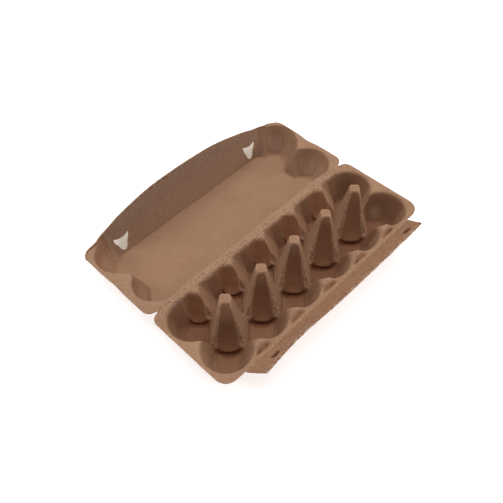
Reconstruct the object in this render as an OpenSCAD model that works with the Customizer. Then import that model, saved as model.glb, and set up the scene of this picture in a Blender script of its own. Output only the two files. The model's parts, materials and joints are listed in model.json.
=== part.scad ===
// Moulded pulp egg carton, lying open: tray, lid and locking flap joined by two creases.
// The tray stands on z = 0 and the lid lies flat behind it, open side up.

/* [Sheet] */
// Thickness of the moulded pulp, measured level through a wall
wall = 1.6; // [1:0.1:2.2]
// Gap between the tray's rim and the lid's rim when the carton is shut
rim_gap = 0.4; // [0.3:0.1:1]
// Radius of the rolled crease at each fold
crease_r = 0.8; // [0.5:0.1:1.2]
// Clearance between a crease and the panel that turns about it
crease_clear = 0.3; // [0.2:0.1:0.6]

/* [Tray] */
// Egg cells in each of the two rows
cells = 6; // [3:1:6]
// Distance between cell centres along a row
cell_pitch = 48.2; // [46:0.1:54]
// Distance between the centre lines of the two rows
row_pitch = 48; // [46:0.1:54]
// Radius of a cell's mouth at the rim
mouth_r = 26; // [25:0.1:28]
// Radius of a cell's flat floor
floor_r = 13.5; // [11:0.1:15]
// How far the flat corner facets of a cell stand in from its round wall
facet_inset = 0.8; // [0.5:0.1:1.5]
// Depth of a cell from the rim to its floor
cell_depth = 36; // [30:0.5:42]
// Width of the flat rim beyond the end cells
end_margin = 3.5; // [2.5:0.1:8]
// Width of the flat rim in front of and behind the rows
side_margin = 4.35; // [3.5:0.05:8]
// Corner radius of the rim at the crease of the lid
back_corner_r = 10; // [6:0.5:14]
// Corner radius of the rim at the open side
front_corner_r = 14; // [8:0.5:18]

/* [Posts] */
// Half width of a post across its faces at the tip
post_tip_r = 5.8; // [4:0.1:7]
// Height of the post tips above the rim
post_rise = 34.4; // [25:0.1:35]
// How far the rounded post edges stand out from the faces at the tip
post_edge_tip = 0.4; // [0.2:0.1:1]
// Reach of the rounded post edges at the level of the cell floors
post_edge_foot = 29; // [28.8:0.1:30]

/* [Lid] */
// Room between the tray's front edge and the lid's front wall
front_room = 4; // [3.5:0.1:6]
// Lean of the lid's front wall away from upright, in degrees
front_lean = 5.6; // [4:0.1:8]
// Width of the lid's rim along its crease, up to the back wall
lid_back_rim = 5.4; // [4.6:0.1:8]
// Inward run of the lid's back wall from rim to panel
back_run = 7.6; // [4:0.1:12]
// Width of the lid's rim between the two pockets at each end
end_land = 17; // [16:0.1:18.5]
// Inward run of the lid's end walls from rim to panel
end_run = 4; // [3:0.1:6]
// Corner radius of the lid's basin
basin_corner_r = 12; // [8:0.5:14]
// Width of the rim left beyond the end pockets nearest the crease
near_pocket_rim = 3.4; // [3.2:0.1:6]
// Radius at the panel of the pockets nearest the crease
near_pocket_floor_r = 8; // [6:0.1:8.2]
// Width of the rim left beyond the end pockets nearest the front wall
far_pocket_rim = 0.9; // [0.6:0.1:3]
// Radius at the panel of the pockets nearest the front wall
far_pocket_floor_r = 10; // [9.5:0.1:12]
// Room between the far pockets and the lid's front wall
far_pocket_room = 1.7; // [1.2:0.1:4]

/* [Lid lip] */
// Height of the curved lip at mid length, measured along the wall
lip_h = 26; // [22:0.5:33]
// Height of the lip where it runs out at the rim's corners
lip_end_h = 6; // [3:0.5:8]

/* [Lock] */
// Distance of a lock window and its button from the end of the carton
lock_inset = 49; // [45:0.5:60]
// Width of a window at its wide end
window_w = 20; // [17:0.5:22]
// Width of a window at its narrow end
window_tip_w = 6; // [5:0.5:10]
// Distance of the window's wide end from the rim, along the wall
window_low = 8.5; // [6:0.5:9.5]
// Length of the window along the wall
window_h = 22; // [18:0.5:24]
// Corner radius of the window
window_corner_r = 2.4; // [1.5:0.1:2.5]
// How far the wide end of the window dips between its corners
window_dip = 4; // [2:0.5:5]
// Length of a button along the flap
button_w = 14; // [11:0.5:15]
// Width of a button across the flap
button_h = 8; // [6:0.5:9]
// How far a button stands out of the flap
button_out = 2.4; // [1.8:0.1:2.6]
// Distance of the button's middle from the flap's crease
button_up = 14; // [12.5:0.5:16]

/* [Flap] */
// Width of the flap from its crease to its free edge
flap_len = 25; // [22:0.5:28]
// Distance of the flap's end from the end of the carton, at its crease
flap_inset = 25; // [20:0.5:35]
// How much each end of the flap draws in towards its free edge
flap_taper = 7; // [2:0.5:12]
// Upward tilt of the flap as the carton lies open, in degrees
flap_tilt = 38; // [10:1:60]

/* [Hidden] */
$fn = 64;
ROWS = ["front", "back"];
SIDES = ["left", "right"];

pulp = [0.60, 0.46, 0.36];
pulp_light = [0.66, 0.53, 0.43];
pulp_dark = [0.50, 0.37, 0.29];
pulp_deep = [0.40, 0.28, 0.21];

// Overcut that carries a cutting shape clear of the face it opens
cut = 1;
// Longer than the carton in every direction
far = 1000;
// Thickness of the end plates that the lid's basin is stretched between
film = 0.01;

// Levels above the table
floor_z = wall;
rim_z = wall + cell_depth;
tip_z = rim_z + post_rise;

// Tray outline, its middle line at y = 0
end_cell_x = (cells - 1) / 2 * cell_pitch;
half_l = end_cell_x + mouth_r + end_margin;
half_w = row_pitch / 2 + mouth_r + side_margin;

// Direction and distance from a cell's centre to the posts beside it
diagonal = norm([cell_pitch, row_pitch]) / 2;
facing = atan2(row_pitch, cell_pitch);
post_foot_r = diagonal - floor_r + facet_inset;

// Creases
crease_z = rim_z + rim_gap / 2;
flap_crease_z = rim_z - wall / 2;
panel_start = crease_r + crease_clear;
crease_half = half_l - back_corner_r;

// Lid, measured from its crease at y = half_w
front_rim_y = 2 * half_w + front_room;
front_panel_y = front_rim_y - cell_depth * tan(front_lean);
back_panel_y = lid_back_rim + back_run;
end_rim_x = half_l - end_land;
near_pocket_r = half_l - end_cell_x - wall - near_pocket_rim;
near_pocket_y = half_w - row_pitch / 2;
far_pocket_r = half_l - end_cell_x - wall - far_pocket_rim;
far_pocket_y = front_rim_y - far_pocket_room - far_pocket_r;

// Lip: an arc through its crown and its two ends
lip_t = wall * cos(front_lean);
lip_foot_x = half_l - front_corner_r;
lip_drop = lip_h - lip_end_h;
lip_edge_r = (lip_foot_x * lip_foot_x + lip_drop * lip_drop) / (2 * lip_drop);

// Lock and flap
lock_x = half_l - lock_inset;
front_cut_x = lock_x + window_w / 2 + wall;
flap_foot_x = half_l - flap_inset;
flap_edge_x = flap_foot_x - flap_taper;

// The part's origin lies under the middle of its outline as it lies open
flap_reach = flap_len * cos(flap_tilt) + wall / 2 * sin(flap_tilt);
lip_reach = lip_h * sin(front_lean) + lip_t * cos(front_lean);
y_low = -half_w - flap_reach;
y_high = half_w + front_rim_y + lip_reach;
y_mid = (y_low + y_high) / 2;

function cell_x(i) = (i - (cells + 1) / 2) * cell_pitch;
function post_x(i) = (i - cells / 2) * cell_pitch;
function side_sign(side) = side == "left" ? -1 : 1;

// A value that runs evenly from low_v at low_z to high_v at high_z
function along(z, low_z, low_v, high_z, high_v) =
    low_v + (high_v - low_v) * (z - low_z) / (high_z - low_z);
function post_face(z) = along(z, floor_z, post_foot_r, tip_z, post_tip_r);
function post_edge(z) = along(z, floor_z, post_edge_foot, tip_z, post_tip_r + post_edge_tip);
function cell_wall(z) = along(z, floor_z, floor_r, rim_z, mouth_r);

// End of the row that a cell stands at: -1 or 1, or 0 along the row
function end_side(i) = i == 1 ? -1 : i == cells ? 1 : 0;

// Everything is drawn about the tray and then brought to the part's origin
module placed() {
    translate([0, -y_mid, 0]) children();
}

// The same, about the crease that the lid turns on
module placed_lid() {
    placed() translate([0, half_w, 0]) children();
}

// The same, in the plane of the tilted flap: Y runs out from its crease and Z out of its outer face
module placed_flap() {
    placed() translate([0, -half_w, flap_crease_z]) rotate([180 - flap_tilt, 0, 0]) children();
}

// A long prism along Y whose flanks stand at the given half widths
module flank_prism(low_z, low_w, high_z, high_w) {
    rotate([90, 0, 0])
        linear_extrude(height = far, center = true)
            polygon([[-low_w, low_z], [low_w, low_z], [high_w, high_z], [-high_w, high_z]]);
}

// A four-sided taper whose faces look towards the neighbouring cells
module faced_taper(low_z, low_w, high_z, high_w) {
    intersection_for (turn = [90 + facing, 90 - facing])
        rotate(turn) flank_prism(low_z, low_w, high_z, high_w);
}

// A post with faces and rounded edges, taken in by inset all round
module post_form(inset) {
    top = tip_z - inset;
    intersection() {
        faced_taper(-cut, post_face(-cut) - inset, top, post_face(top) - inset);
        translate([0, 0, -cut])
            cylinder(h = top + cut, r1 = post_edge(-cut) - inset, r2 = post_edge(top) - inset);
    }
}

// All that lies on the inner side of a cell's outer corners, which are left to its round wall
module facet_trim(grow, low_z, high_z) {
    low = (cell_wall(low_z) + grow) * cos(45);
    high = (cell_wall(high_z) + grow) * cos(45);
    rotate([90, 0, 90])
        linear_extrude(height = far, center = true)
            polygon([[-low, low_z], [far, low_z], [far, high_z], [-high, high_z]]);
}

// Space of one front cell about its own centre, let out by grow: a round cup with flat corner facets
module cell_form(grow, end) {
    low_z = floor_z - grow;
    high_z = rim_z + cut;
    low_r = cell_wall(floor_z) + grow;
    high_r = cell_wall(high_z) + grow;
    translate([0, 0, low_z]) cylinder(h = high_z - low_z, r1 = low_r, r2 = high_r);
    intersection() {
        faced_taper(low_z, low_r - facet_inset, high_z, high_r - facet_inset);
        facet_trim(grow, low_z, high_z);
        if (end != 0) rotate(end * 90) facet_trim(grow, low_z, high_z);
    }
}

module cell_space(i, grow) {
    translate([cell_x(i), -row_pitch / 2, 0]) cell_form(grow, end_side(i));
}

module posts_beside(i, inset) {
    for (p = [max(i - 1, 1) : min(i, cells - 1)])
        translate([post_x(p), 0, 0]) post_form(inset);
}

// One front cell's share of the tray
module cell_tile(i) {
    x0 = i == 1 ? -half_l : post_x(i - 1);
    x1 = i == cells ? half_l : post_x(i);
    translate([x0, -half_w, 0]) cube([x1 - x0, half_w, rim_z]);
}

module front_cell(i) {
    intersection() {
        cell_tile(i);
        difference() {
            cell_space(i, wall);
            posts_beside(i, wall);
            difference() {
                cell_space(i, 0);
                posts_beside(i, 0);
            }
        }
    }
}

module egg_cell(row, i) {
    color(pulp_deep)
        placed()
            mirror([0, row == "back" ? 1 : 0, 0]) front_cell(i);
}

module post(i) {
    color(pulp_light)
        placed()
            translate([post_x(i), 0, 0])
                intersection() {
                    difference() {
                        post_form(0);
                        post_form(wall);
                    }
                    translate([0, 0, rim_z + far / 2]) cube(far, center = true);
                }
}

// Outline with corners of low_r along its low Y edge and of high_r along its high Y edge
module rim_outline(half_x, low_y, high_y, low_r, high_r) {
    for (side = [-1, 1]) {
        translate([side * (half_x - low_r), low_y + low_r]) circle(low_r);
        translate([side * (half_x - high_r), high_y - high_r]) circle(high_r);
    }
    translate([low_r - half_x, low_y]) square([2 * (half_x - low_r), high_y - low_y - high_r]);
    translate([high_r - half_x, low_y + low_r]) square([2 * (half_x - high_r), high_y - low_y - low_r]);
    translate([-half_x, low_y + low_r]) square([2 * half_x, high_y - low_y - low_r - high_r]);
}

module rim_plate() {
    translate([0, 0, rim_z - wall]) linear_extrude(height = wall) children();
}

module crease(half_length, y, z) {
    translate([-half_length, y, z]) rotate([0, 90, 0]) cylinder(h = 2 * half_length, r = crease_r);
}

module tray_rim() {
    color(pulp_light)
        placed()
            difference() {
                rim_plate() rim_outline(half_l, -half_w, half_w, front_corner_r, back_corner_r);
                for (i = [1 : cells]) {
                    cell_space(i, wall);
                    mirror([0, 1, 0]) cell_space(i, wall);
                    posts_beside(i, 0);
                }
                crease(crease_half, half_w, crease_z);
                crease(flap_foot_x, -half_w, flap_crease_z);
            }
}

module lid_crease() {
    color(pulp_light) placed() crease(crease_half, half_w, crease_z);
}

module flap_crease() {
    color(pulp_light) placed() crease(flap_foot_x, -half_w, flap_crease_z);
}

// Level section of the lid's basin, let out by grow
module basin_section(z, low_z, grow) {
    end_x = along(z, low_z, end_rim_x - end_run, rim_z, end_rim_x) + grow;
    back_y = along(z, low_z, back_panel_y, rim_z, lid_back_rim) - grow;
    front_y = along(z, low_z, front_panel_y, rim_z, front_rim_y) + grow;
    r = basin_corner_r + grow;
    rim_outline(end_x, back_y, front_y, r, r, $fn = 32);
}

// Space inside the lid, let out by grow: a basin with two round pockets at each end
module lid_space(grow) {
    low_z = floor_z - grow;
    high_z = rim_z + cut;
    hull() {
        translate([0, 0, low_z]) linear_extrude(height = film) basin_section(low_z, low_z, grow);
        translate([0, 0, high_z]) linear_extrude(height = film) basin_section(high_z, low_z, grow);
    }
    for (side = [-1, 1])
        translate([side * end_cell_x, 0, low_z]) {
            translate([0, near_pocket_y, 0])
                cylinder(h = high_z - low_z, r1 = near_pocket_floor_r + grow, r2 = near_pocket_r + grow);
            translate([0, far_pocket_y, 0])
                cylinder(h = high_z - low_z, r1 = far_pocket_floor_r + grow, r2 = far_pocket_r + grow);
        }
}

module lid_rim() {
    color(pulp_light)
        placed_lid()
            difference() {
                rim_plate()
                    rim_outline(half_l, panel_start, front_rim_y + wall / 2, back_corner_r, front_corner_r);
                lid_space(wall);
            }
}

module lid_panel() {
    color(pulp)
        placed_lid()
            intersection() {
                lid_space(wall);
                translate([-far / 2, 0, 0]) cube([far, far, wall]);
            }
}

module lid_back_wall() {
    foot_y = along(floor_z, 0, back_panel_y, rim_z, lid_back_rim) - wall;
    color(pulp_dark)
        placed_lid()
            rotate([90, 0, 90])
                linear_extrude(height = 2 * front_cut_x, center = true)
                    polygon([
                        [back_panel_y, floor_z],
                        [lid_back_rim, rim_z],
                        [lid_back_rim - wall, rim_z],
                        [foot_y, floor_z]
                    ]);
}

module lid_end(side) {
    color(pulp_dark)
        placed_lid()
            mirror([side == "left" ? 1 : 0, 0, 0])
                intersection() {
                    difference() {
                        lid_space(wall);
                        lid_space(0);
                    }
                    translate([front_cut_x, 0, floor_z]) cube([far, far, cell_depth]);
                }
}

// Lock window, its wide end nearest the rim, which lies at Y = 0, and dipped between its corners
module window_outline() {
    r = window_corner_r;
    top = window_w / 2 - r;
    dip_r = (top * top + window_dip * window_dip) / (2 * window_dip);
    difference() {
        hull()
            for (side = [-1, 1]) {
                translate([side * top, -window_low - r]) circle(r);
                translate([side * (window_tip_w / 2 - r), r - window_low - window_h]) circle(r);
            }
        translate([0, dip_r - window_low - window_dip]) circle(dip_r);
    }
}

// Front wall laid flat, its rim at Y = 0 and its curved lip above that
module front_wall_outline() {
    difference() {
        union() {
            translate([-front_cut_x, -far / 2]) square([2 * front_cut_x, far / 2]);
            intersection() {
                translate([0, lip_h - lip_edge_r]) circle(lip_edge_r, $fn = 360);
                polygon([
                    [-lip_foot_x - cut, -cut],
                    [lip_foot_x + cut, -cut],
                    [lip_foot_x - lip_h, lip_h],
                    [lip_h - lip_foot_x, lip_h]
                ]);
            }
        }
        for (side = [-1, 1]) translate([side * lock_x, 0]) window_outline();
    }
}

module lid_front_wall() {
    color(pulp_dark)
        placed_lid()
            difference() {
                translate([0, front_rim_y, rim_z])
                    rotate([90 - front_lean, 0, 0])
                        mirror([0, 0, 1])
                            linear_extrude(height = lip_t) front_wall_outline();
                translate([-far / 2, 0, floor_z - far]) cube(far);
                for (side = [-1, 1])
                    translate([side * (front_cut_x + far / 2), 0, rim_z - far / 2]) cube(far, center = true);
            }
}

module stadium(w, h) {
    for (side = [-1, 1]) translate([side * (w - h) / 2, 0]) circle(d = h);
    square([w - h, h], center = true);
}

module button_outline(inset) {
    translate([0, button_up]) stadium(button_w - 2 * inset, button_h - 2 * inset);
}

module locking_flap() {
    color(pulp)
        placed_flap()
            linear_extrude(height = wall, center = true)
                difference() {
                    polygon([
                        [-flap_foot_x, panel_start],
                        [flap_foot_x, panel_start],
                        [flap_edge_x, flap_len],
                        [-flap_edge_x, flap_len]
                    ]);
                    for (side = [-1, 1]) translate([side * lock_x, 0]) button_outline(0);
                }
}

// A pressed-out button: hollow on the inner face of the flap, proud of its outer face
module lock_button(side) {
    color(pulp_dark)
        placed_flap()
            translate([side_sign(side) * lock_x, 0, -wall / 2])
                difference() {
                    linear_extrude(height = wall + button_out) button_outline(0);
                    translate([0, 0, -cut]) linear_extrude(height = button_out + cut) button_outline(wall);
                }
}

tray_rim();
lid_crease();
flap_crease();
for (row = ROWS)
    for (i = [1 : cells])
        egg_cell(row, i);
for (i = [1 : cells - 1])
    post(i);
lid_rim();
lid_panel();
lid_front_wall();
lid_back_wall();
for (side = SIDES)
    lid_end(side);
locking_flap();
for (side = SIDES)
    lock_button(side);
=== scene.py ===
"""Moulded pulp egg carton, lying open: the looks of its tray, lid and locking flap.

Every piece is a thin moulded sheet. Lengths inside the classes are millimetres about the
tray's own middle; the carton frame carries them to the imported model's place in metres.
"""

import json
import logging
import math
from dataclasses import dataclass, field, replace
from enum import Enum
from typing import Any, Callable, ClassVar

import bmesh
import bpy
import numpy as np
from mathutils import Matrix, Vector, noise

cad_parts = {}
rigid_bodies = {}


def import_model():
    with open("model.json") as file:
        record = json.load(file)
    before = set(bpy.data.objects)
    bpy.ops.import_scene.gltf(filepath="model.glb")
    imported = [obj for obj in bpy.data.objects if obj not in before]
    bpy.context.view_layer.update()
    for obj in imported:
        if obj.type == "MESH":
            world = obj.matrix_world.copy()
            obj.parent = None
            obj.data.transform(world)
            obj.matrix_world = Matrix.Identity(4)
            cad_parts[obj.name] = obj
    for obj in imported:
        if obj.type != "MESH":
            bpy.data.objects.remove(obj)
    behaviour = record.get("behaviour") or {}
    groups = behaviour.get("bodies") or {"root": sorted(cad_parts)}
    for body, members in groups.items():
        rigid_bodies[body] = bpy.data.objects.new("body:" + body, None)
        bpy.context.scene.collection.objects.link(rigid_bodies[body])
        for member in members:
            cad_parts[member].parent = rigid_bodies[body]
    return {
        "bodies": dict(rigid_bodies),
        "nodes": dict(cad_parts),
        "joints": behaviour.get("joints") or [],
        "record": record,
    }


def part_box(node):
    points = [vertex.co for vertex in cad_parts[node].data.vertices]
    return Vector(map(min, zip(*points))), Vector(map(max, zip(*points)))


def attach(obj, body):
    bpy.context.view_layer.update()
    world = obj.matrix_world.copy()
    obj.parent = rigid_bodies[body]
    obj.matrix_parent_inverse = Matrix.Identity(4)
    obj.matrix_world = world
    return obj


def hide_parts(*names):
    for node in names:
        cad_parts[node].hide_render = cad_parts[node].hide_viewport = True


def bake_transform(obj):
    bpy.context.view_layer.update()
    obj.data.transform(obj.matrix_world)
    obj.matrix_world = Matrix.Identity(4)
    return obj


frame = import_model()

Colour = tuple[float, float, float]
# Where a ramp leaves 0 and where it reaches 1
Span = tuple[float, float]
Socket = bpy.types.NodeSocket

LOG = logging.getLogger("egg_carton")
# Metres in a millimetre, and how near two points are welded
MM = 0.001
WELD = 0.02 * MM
# Cosine of half a right angle
DIAGONAL = 0.70711
# Keeps a length that divides another above nothing
TINY = 1e-9
# Keeps the shift of a noise's seed off the diagonals
SEED_SLANT = 0.7
# The lid's greyer pale colour, for its flecks and for the painted light on its front wall, tongues and
# crests
ASHEN: Colour = (0.46, 0.315, 0.245)


class Body(Enum):
    """The moving bodies that the pieces ride on."""

    TRAY = "tray"
    LID = "lid"
    FLAP = "flap"


class Slot(Enum):
    """The record's material slots."""

    TRAY = "pulp_tray"
    LID = "pulp_lid"
    FLAP = "pulp_flap"


class Row(Enum):
    """The two rows of cells, by the sign of their side of the tray."""

    FRONT = -1
    BACK = 1


def smoothstep(low: float, high: float, value: np.ndarray) -> np.ndarray:
    """Smooth 0 to 1 ramp.

    Args:
        low: Value at which the ramp leaves 0.
        high: Value at which the ramp reaches 1.
        value: Where the ramp is wanted.

    Returns:
        The ramp at each value.
    """
    t = np.clip((value - low) / (high - low), 0.0, 1.0)
    return t * t * (3.0 - 2.0 * t)


def soft_min(a: np.ndarray, b: np.ndarray | float, round_off: np.ndarray | float) -> np.ndarray:
    """Lesser of two fields with a rounded meeting.

    Args:
        a: First field.
        b: Second field.
        round_off: Width of the rounding.

    Returns:
        The blended lesser field.
    """
    h = np.clip(0.5 + 0.5 * (b - a) / round_off, 0.0, 1.0)
    return b + (a - b) * h - round_off * h * (1.0 - h)


def soft_max(a: np.ndarray, b: np.ndarray | float, round_off: np.ndarray | float) -> np.ndarray:
    """Greater of two fields with a rounded meeting.

    Args:
        a: First field.
        b: Second field.
        round_off: Width of the rounding.

    Returns:
        The blended greater field.
    """
    return -soft_min(-a, -b, round_off)


def hill(offset: np.ndarray, half: float, sharp: int = 2) -> np.ndarray:
    """Soft bump over an offset.

    Args:
        offset: Distances from the bump's middle.
        half: Distance at which it has fallen to about a third.
        sharp: Power of the fall, higher for a flatter top.

    Returns:
        1 in the middle, falling to 0.
    """
    return np.exp(-((offset / half) ** sharp))


@dataclass(frozen=True)
class Unevenness:
    """Soft noise: the size of its lumps in millimetres, its seed and its strength."""

    size: float
    seed: float
    strength: float = 1.0

    def at(self, places: np.ndarray) -> np.ndarray:
        """Value of the noise at places.

        Args:
            places: Places in millimetres, one row each.

        Returns:
            One value for each place, between about minus and plus the strength.
        """
        shift = Vector((self.seed, self.seed * SEED_SLANT, -self.seed))
        return self.strength * np.array([noise.noise(Vector(p) / self.size + shift) for p in places])


@dataclass(frozen=True)
class Mark:
    """A soft mark on the land between two cells: its place, its half sizes and its strength."""

    y: float
    half_x: float
    half_y: float
    strength: float = 1.0
    sharp: int = 2
    slant: float = 0.0

    def at(self, dx: np.ndarray, y: np.ndarray) -> np.ndarray:
        """How strong the mark is at each place.

        Args:
            dx: Offsets along the tray from the middle of the land.
            y: Places across the tray.

        Returns:
            The strength in the middle of the mark, falling to 0.
        """
        across = hill(y - self.y + self.slant * dx, self.half_y)
        return self.strength * hill(dx, self.half_x, self.sharp) * across


@dataclass(frozen=True)
class CartonFrame:
    """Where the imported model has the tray, its rims and its two creases, in millimetres."""

    tray_y: float
    half_length: float
    half_width: float
    rim_z: float
    tip_z: float
    crease_y: float
    flap_y: float
    flap_z: float

    @classmethod
    def from_packed(cls, packed: dict[str, Any]) -> "CartonFrame":
        """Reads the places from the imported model.


        Returns:
            The carton's frame.
        """
        low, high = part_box("tray_rim")
        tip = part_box("post_1")[1].z
        axes = {joint["name"]: joint["pos_m"] for joint in packed["joints"]}
        middle = (low.y + high.y) / 2
        return cls(
            tray_y=middle / MM,
            half_length=high.x / MM,
            half_width=(high.y - low.y) / 2 / MM,
            rim_z=high.z / MM,
            tip_z=tip / MM,
            crease_y=axes["lid_hinge"][1] / MM - middle / MM,
            flap_y=axes["flap_fold"][1] / MM - middle / MM,
            flap_z=axes["flap_fold"][2] / MM,
        )

    def to_metres(self, points: np.ndarray) -> np.ndarray:
        """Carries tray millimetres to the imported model's metres."""
        return (points + np.array([0.0, self.tray_y, 0.0])) * MM

    def from_metres(self, points: np.ndarray) -> np.ndarray:
        """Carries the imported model's metres to tray millimetres."""
        return points / MM - np.array([0.0, self.tray_y, 0.0])


def link_mesh(name: str, bm: bmesh.types.BMesh) -> bpy.types.Object:
    """Makes a shape an object of the scene.

    Args:
        name: The object's name.
        bm: The shape, which is freed.

    Returns:
        The new object.
    """
    mesh = bpy.data.meshes.new(name)
    bm.to_mesh(mesh)
    bm.free()
    made = bpy.data.objects.new(name, mesh)
    bpy.context.scene.collection.objects.link(made)
    return made


class NodeBench:
    """Adds and joins shader nodes in one tree."""

    # Places of a colour mix's sockets
    MIX_FACTOR, MIX_A, MIX_B, MIX_RESULT = 0, 6, 7, 2

    def __init__(self, tree: bpy.types.NodeTree) -> None:
        """Keeps the tree that nodes are added to."""
        self.tree = tree

    def add(self, kind: str, **settings: Any) -> bpy.types.Node:
        """Adds a node.

        Args:
            kind: The node's type name.
            settings: Properties to set on it.

        Returns:
            The new node.
        """
        node = self.tree.nodes.new(kind)
        for name, value in settings.items():
            setattr(node, name, value)
        return node

    def join(self, source: Socket, target: Socket) -> None:
        """Links one socket to another."""
        self.tree.links.new(source, target)

    def read(self, name: str) -> Socket:
        """Reads a value that is stored on the piece's points."""
        return self.add("ShaderNodeAttribute", attribute_name=name).outputs["Fac"]

    def noise(self, place: Socket, scale: float, detail: float, rough: float) -> Socket:
        """Adds a noise texture.

        Args:
            place: Coordinates that it reads.
            scale: Lumps in a metre.
            detail: Octaves of finer noise.
            rough: Strength of the finer octaves.

        Returns:
            Its value socket.
        """
        node = self.add("ShaderNodeTexNoise")
        node.inputs["Scale"].default_value = scale
        node.inputs["Detail"].default_value = detail
        node.inputs["Roughness"].default_value = rough
        self.join(place, node.inputs["Vector"])
        return node.outputs["Fac"]

    def math(self, operation: str, a: Any, b: Any, clamp: bool = False) -> Socket:
        """Adds a math node.

        Args:
            operation: What it does.
            a: A socket or a number.
            b: A socket or a number.
            clamp: Whether the result stays within 0 and 1.

        Returns:
            Its value socket.
        """
        node = self.add("ShaderNodeMath", operation=operation, use_clamp=clamp)
        for socket, value in zip(node.inputs, (a, b)):
            if isinstance(value, (int, float)):
                socket.default_value = value
            else:
                self.join(value, socket)
        return node.outputs["Value"]

    def scaled(self, value: Socket, share: Any, clamp: bool = False) -> Socket:
        """Multiplies a value by a number or by another value."""
        return self.math("MULTIPLY", value, share, clamp)

    def ramp(self, value: Socket, low: float, high: float) -> Socket:
        """Stretches the span from low to high over 0 to 1, with soft ends.

        Args:
            value: What is stretched.
            low: Value that becomes 0.
            high: Value that becomes 1.

        Returns:
            The stretched value.
        """
        node = self.add("ShaderNodeMapRange", interpolation_type="SMOOTHSTEP")
        node.inputs["From Min"].default_value = low
        node.inputs["From Max"].default_value = high
        self.join(value, node.inputs["Value"])
        return node.outputs["Result"]

    def mix(self, factor: Socket, a: Any, b: Any) -> Socket:
        """Adds a colour mix.

        Args:
            factor: Share of b.
            a: Socket or colour at 0.
            b: Socket or colour at 1.

        Returns:
            The mixed colour.
        """
        node = self.add("ShaderNodeMix", data_type="RGBA")
        self.join(factor, node.inputs[self.MIX_FACTOR])
        for socket, value in ((node.inputs[self.MIX_A], a), (node.inputs[self.MIX_B], b)):
            if isinstance(value, tuple):
                socket.default_value = (*value, 1.0)
            else:
                self.join(value, socket)
        return node.outputs[self.MIX_RESULT]


class PulpGrain:
    """The fibre and fleck pattern that every pulp finish uses, as one node group.

    A noise is given by its lumps in a metre, its octaves and the strength of the finer ones.
    """

    NAME = "pulp_grain"
    MOTTLE = (38.0, 3.0, 0.55)
    SPECKLE = (620.0, 3.0, 0.6)
    LUMPS = (210.0, 2.0, 0.55)
    FIBRE = (760.0, 2.0, 0.5)
    FIBRE_STRETCH = (0.35, 1.3, 1.0)
    FIBRE_TURN = (0.2, 0.1, 0.6)
    FLECK_SPAN = (0.57, 0.70)
    CRUMB = (400.0, 1.0, 0.5)
    CRUMB_SPAN = (0.42, 0.58)
    LUMPS_HEIGHT, SPECKLE_HEIGHT, FLECK_HEIGHT = 0.55, 0.45, 0.15

    @classmethod
    def group(cls) -> bpy.types.NodeTree:
        """Builds the group once.

        Returns:
            The group, with outputs for broad mottling, fine speckle, pale flecks, crumbs and height.
        """
        if cls.NAME in bpy.data.node_groups:
            return bpy.data.node_groups[cls.NAME]
        tree = bpy.data.node_groups.new(cls.NAME, "ShaderNodeTree")
        tree.interface.new_socket("Place", in_out="INPUT", socket_type="NodeSocketVector")
        for name in ("Mottle", "Speckle", "Fleck", "Crumb", "Height"):
            tree.interface.new_socket(name, in_out="OUTPUT", socket_type="NodeSocketFloat")
        bench = NodeBench(tree)
        place = bench.add("NodeGroupInput").outputs["Place"]
        out = bench.add("NodeGroupOutput")
        mottle = bench.noise(place, *cls.MOTTLE)
        speckle = bench.noise(place, *cls.SPECKLE)
        lumps = bench.noise(place, *cls.LUMPS)
        stretch = bench.add("ShaderNodeMapping")
        stretch.inputs["Scale"].default_value = cls.FIBRE_STRETCH
        stretch.inputs["Rotation"].default_value = cls.FIBRE_TURN
        bench.join(place, stretch.inputs["Vector"])
        fleck = bench.ramp(bench.noise(stretch.outputs["Vector"], *cls.FIBRE), *cls.FLECK_SPAN)
        crumb = bench.ramp(bench.noise(place, *cls.CRUMB), *cls.CRUMB_SPAN)
        height = bench.scaled(lumps, cls.LUMPS_HEIGHT)
        height = bench.math("ADD", height, bench.scaled(speckle, cls.SPECKLE_HEIGHT))
        height = bench.math("ADD", height, bench.scaled(fleck, cls.FLECK_HEIGHT))
        made = {"Mottle": mottle, "Speckle": speckle, "Fleck": fleck, "Crumb": crumb, "Height": height}
        for name, socket in made.items():
            bench.join(socket, out.inputs[name])
        return tree


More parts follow.
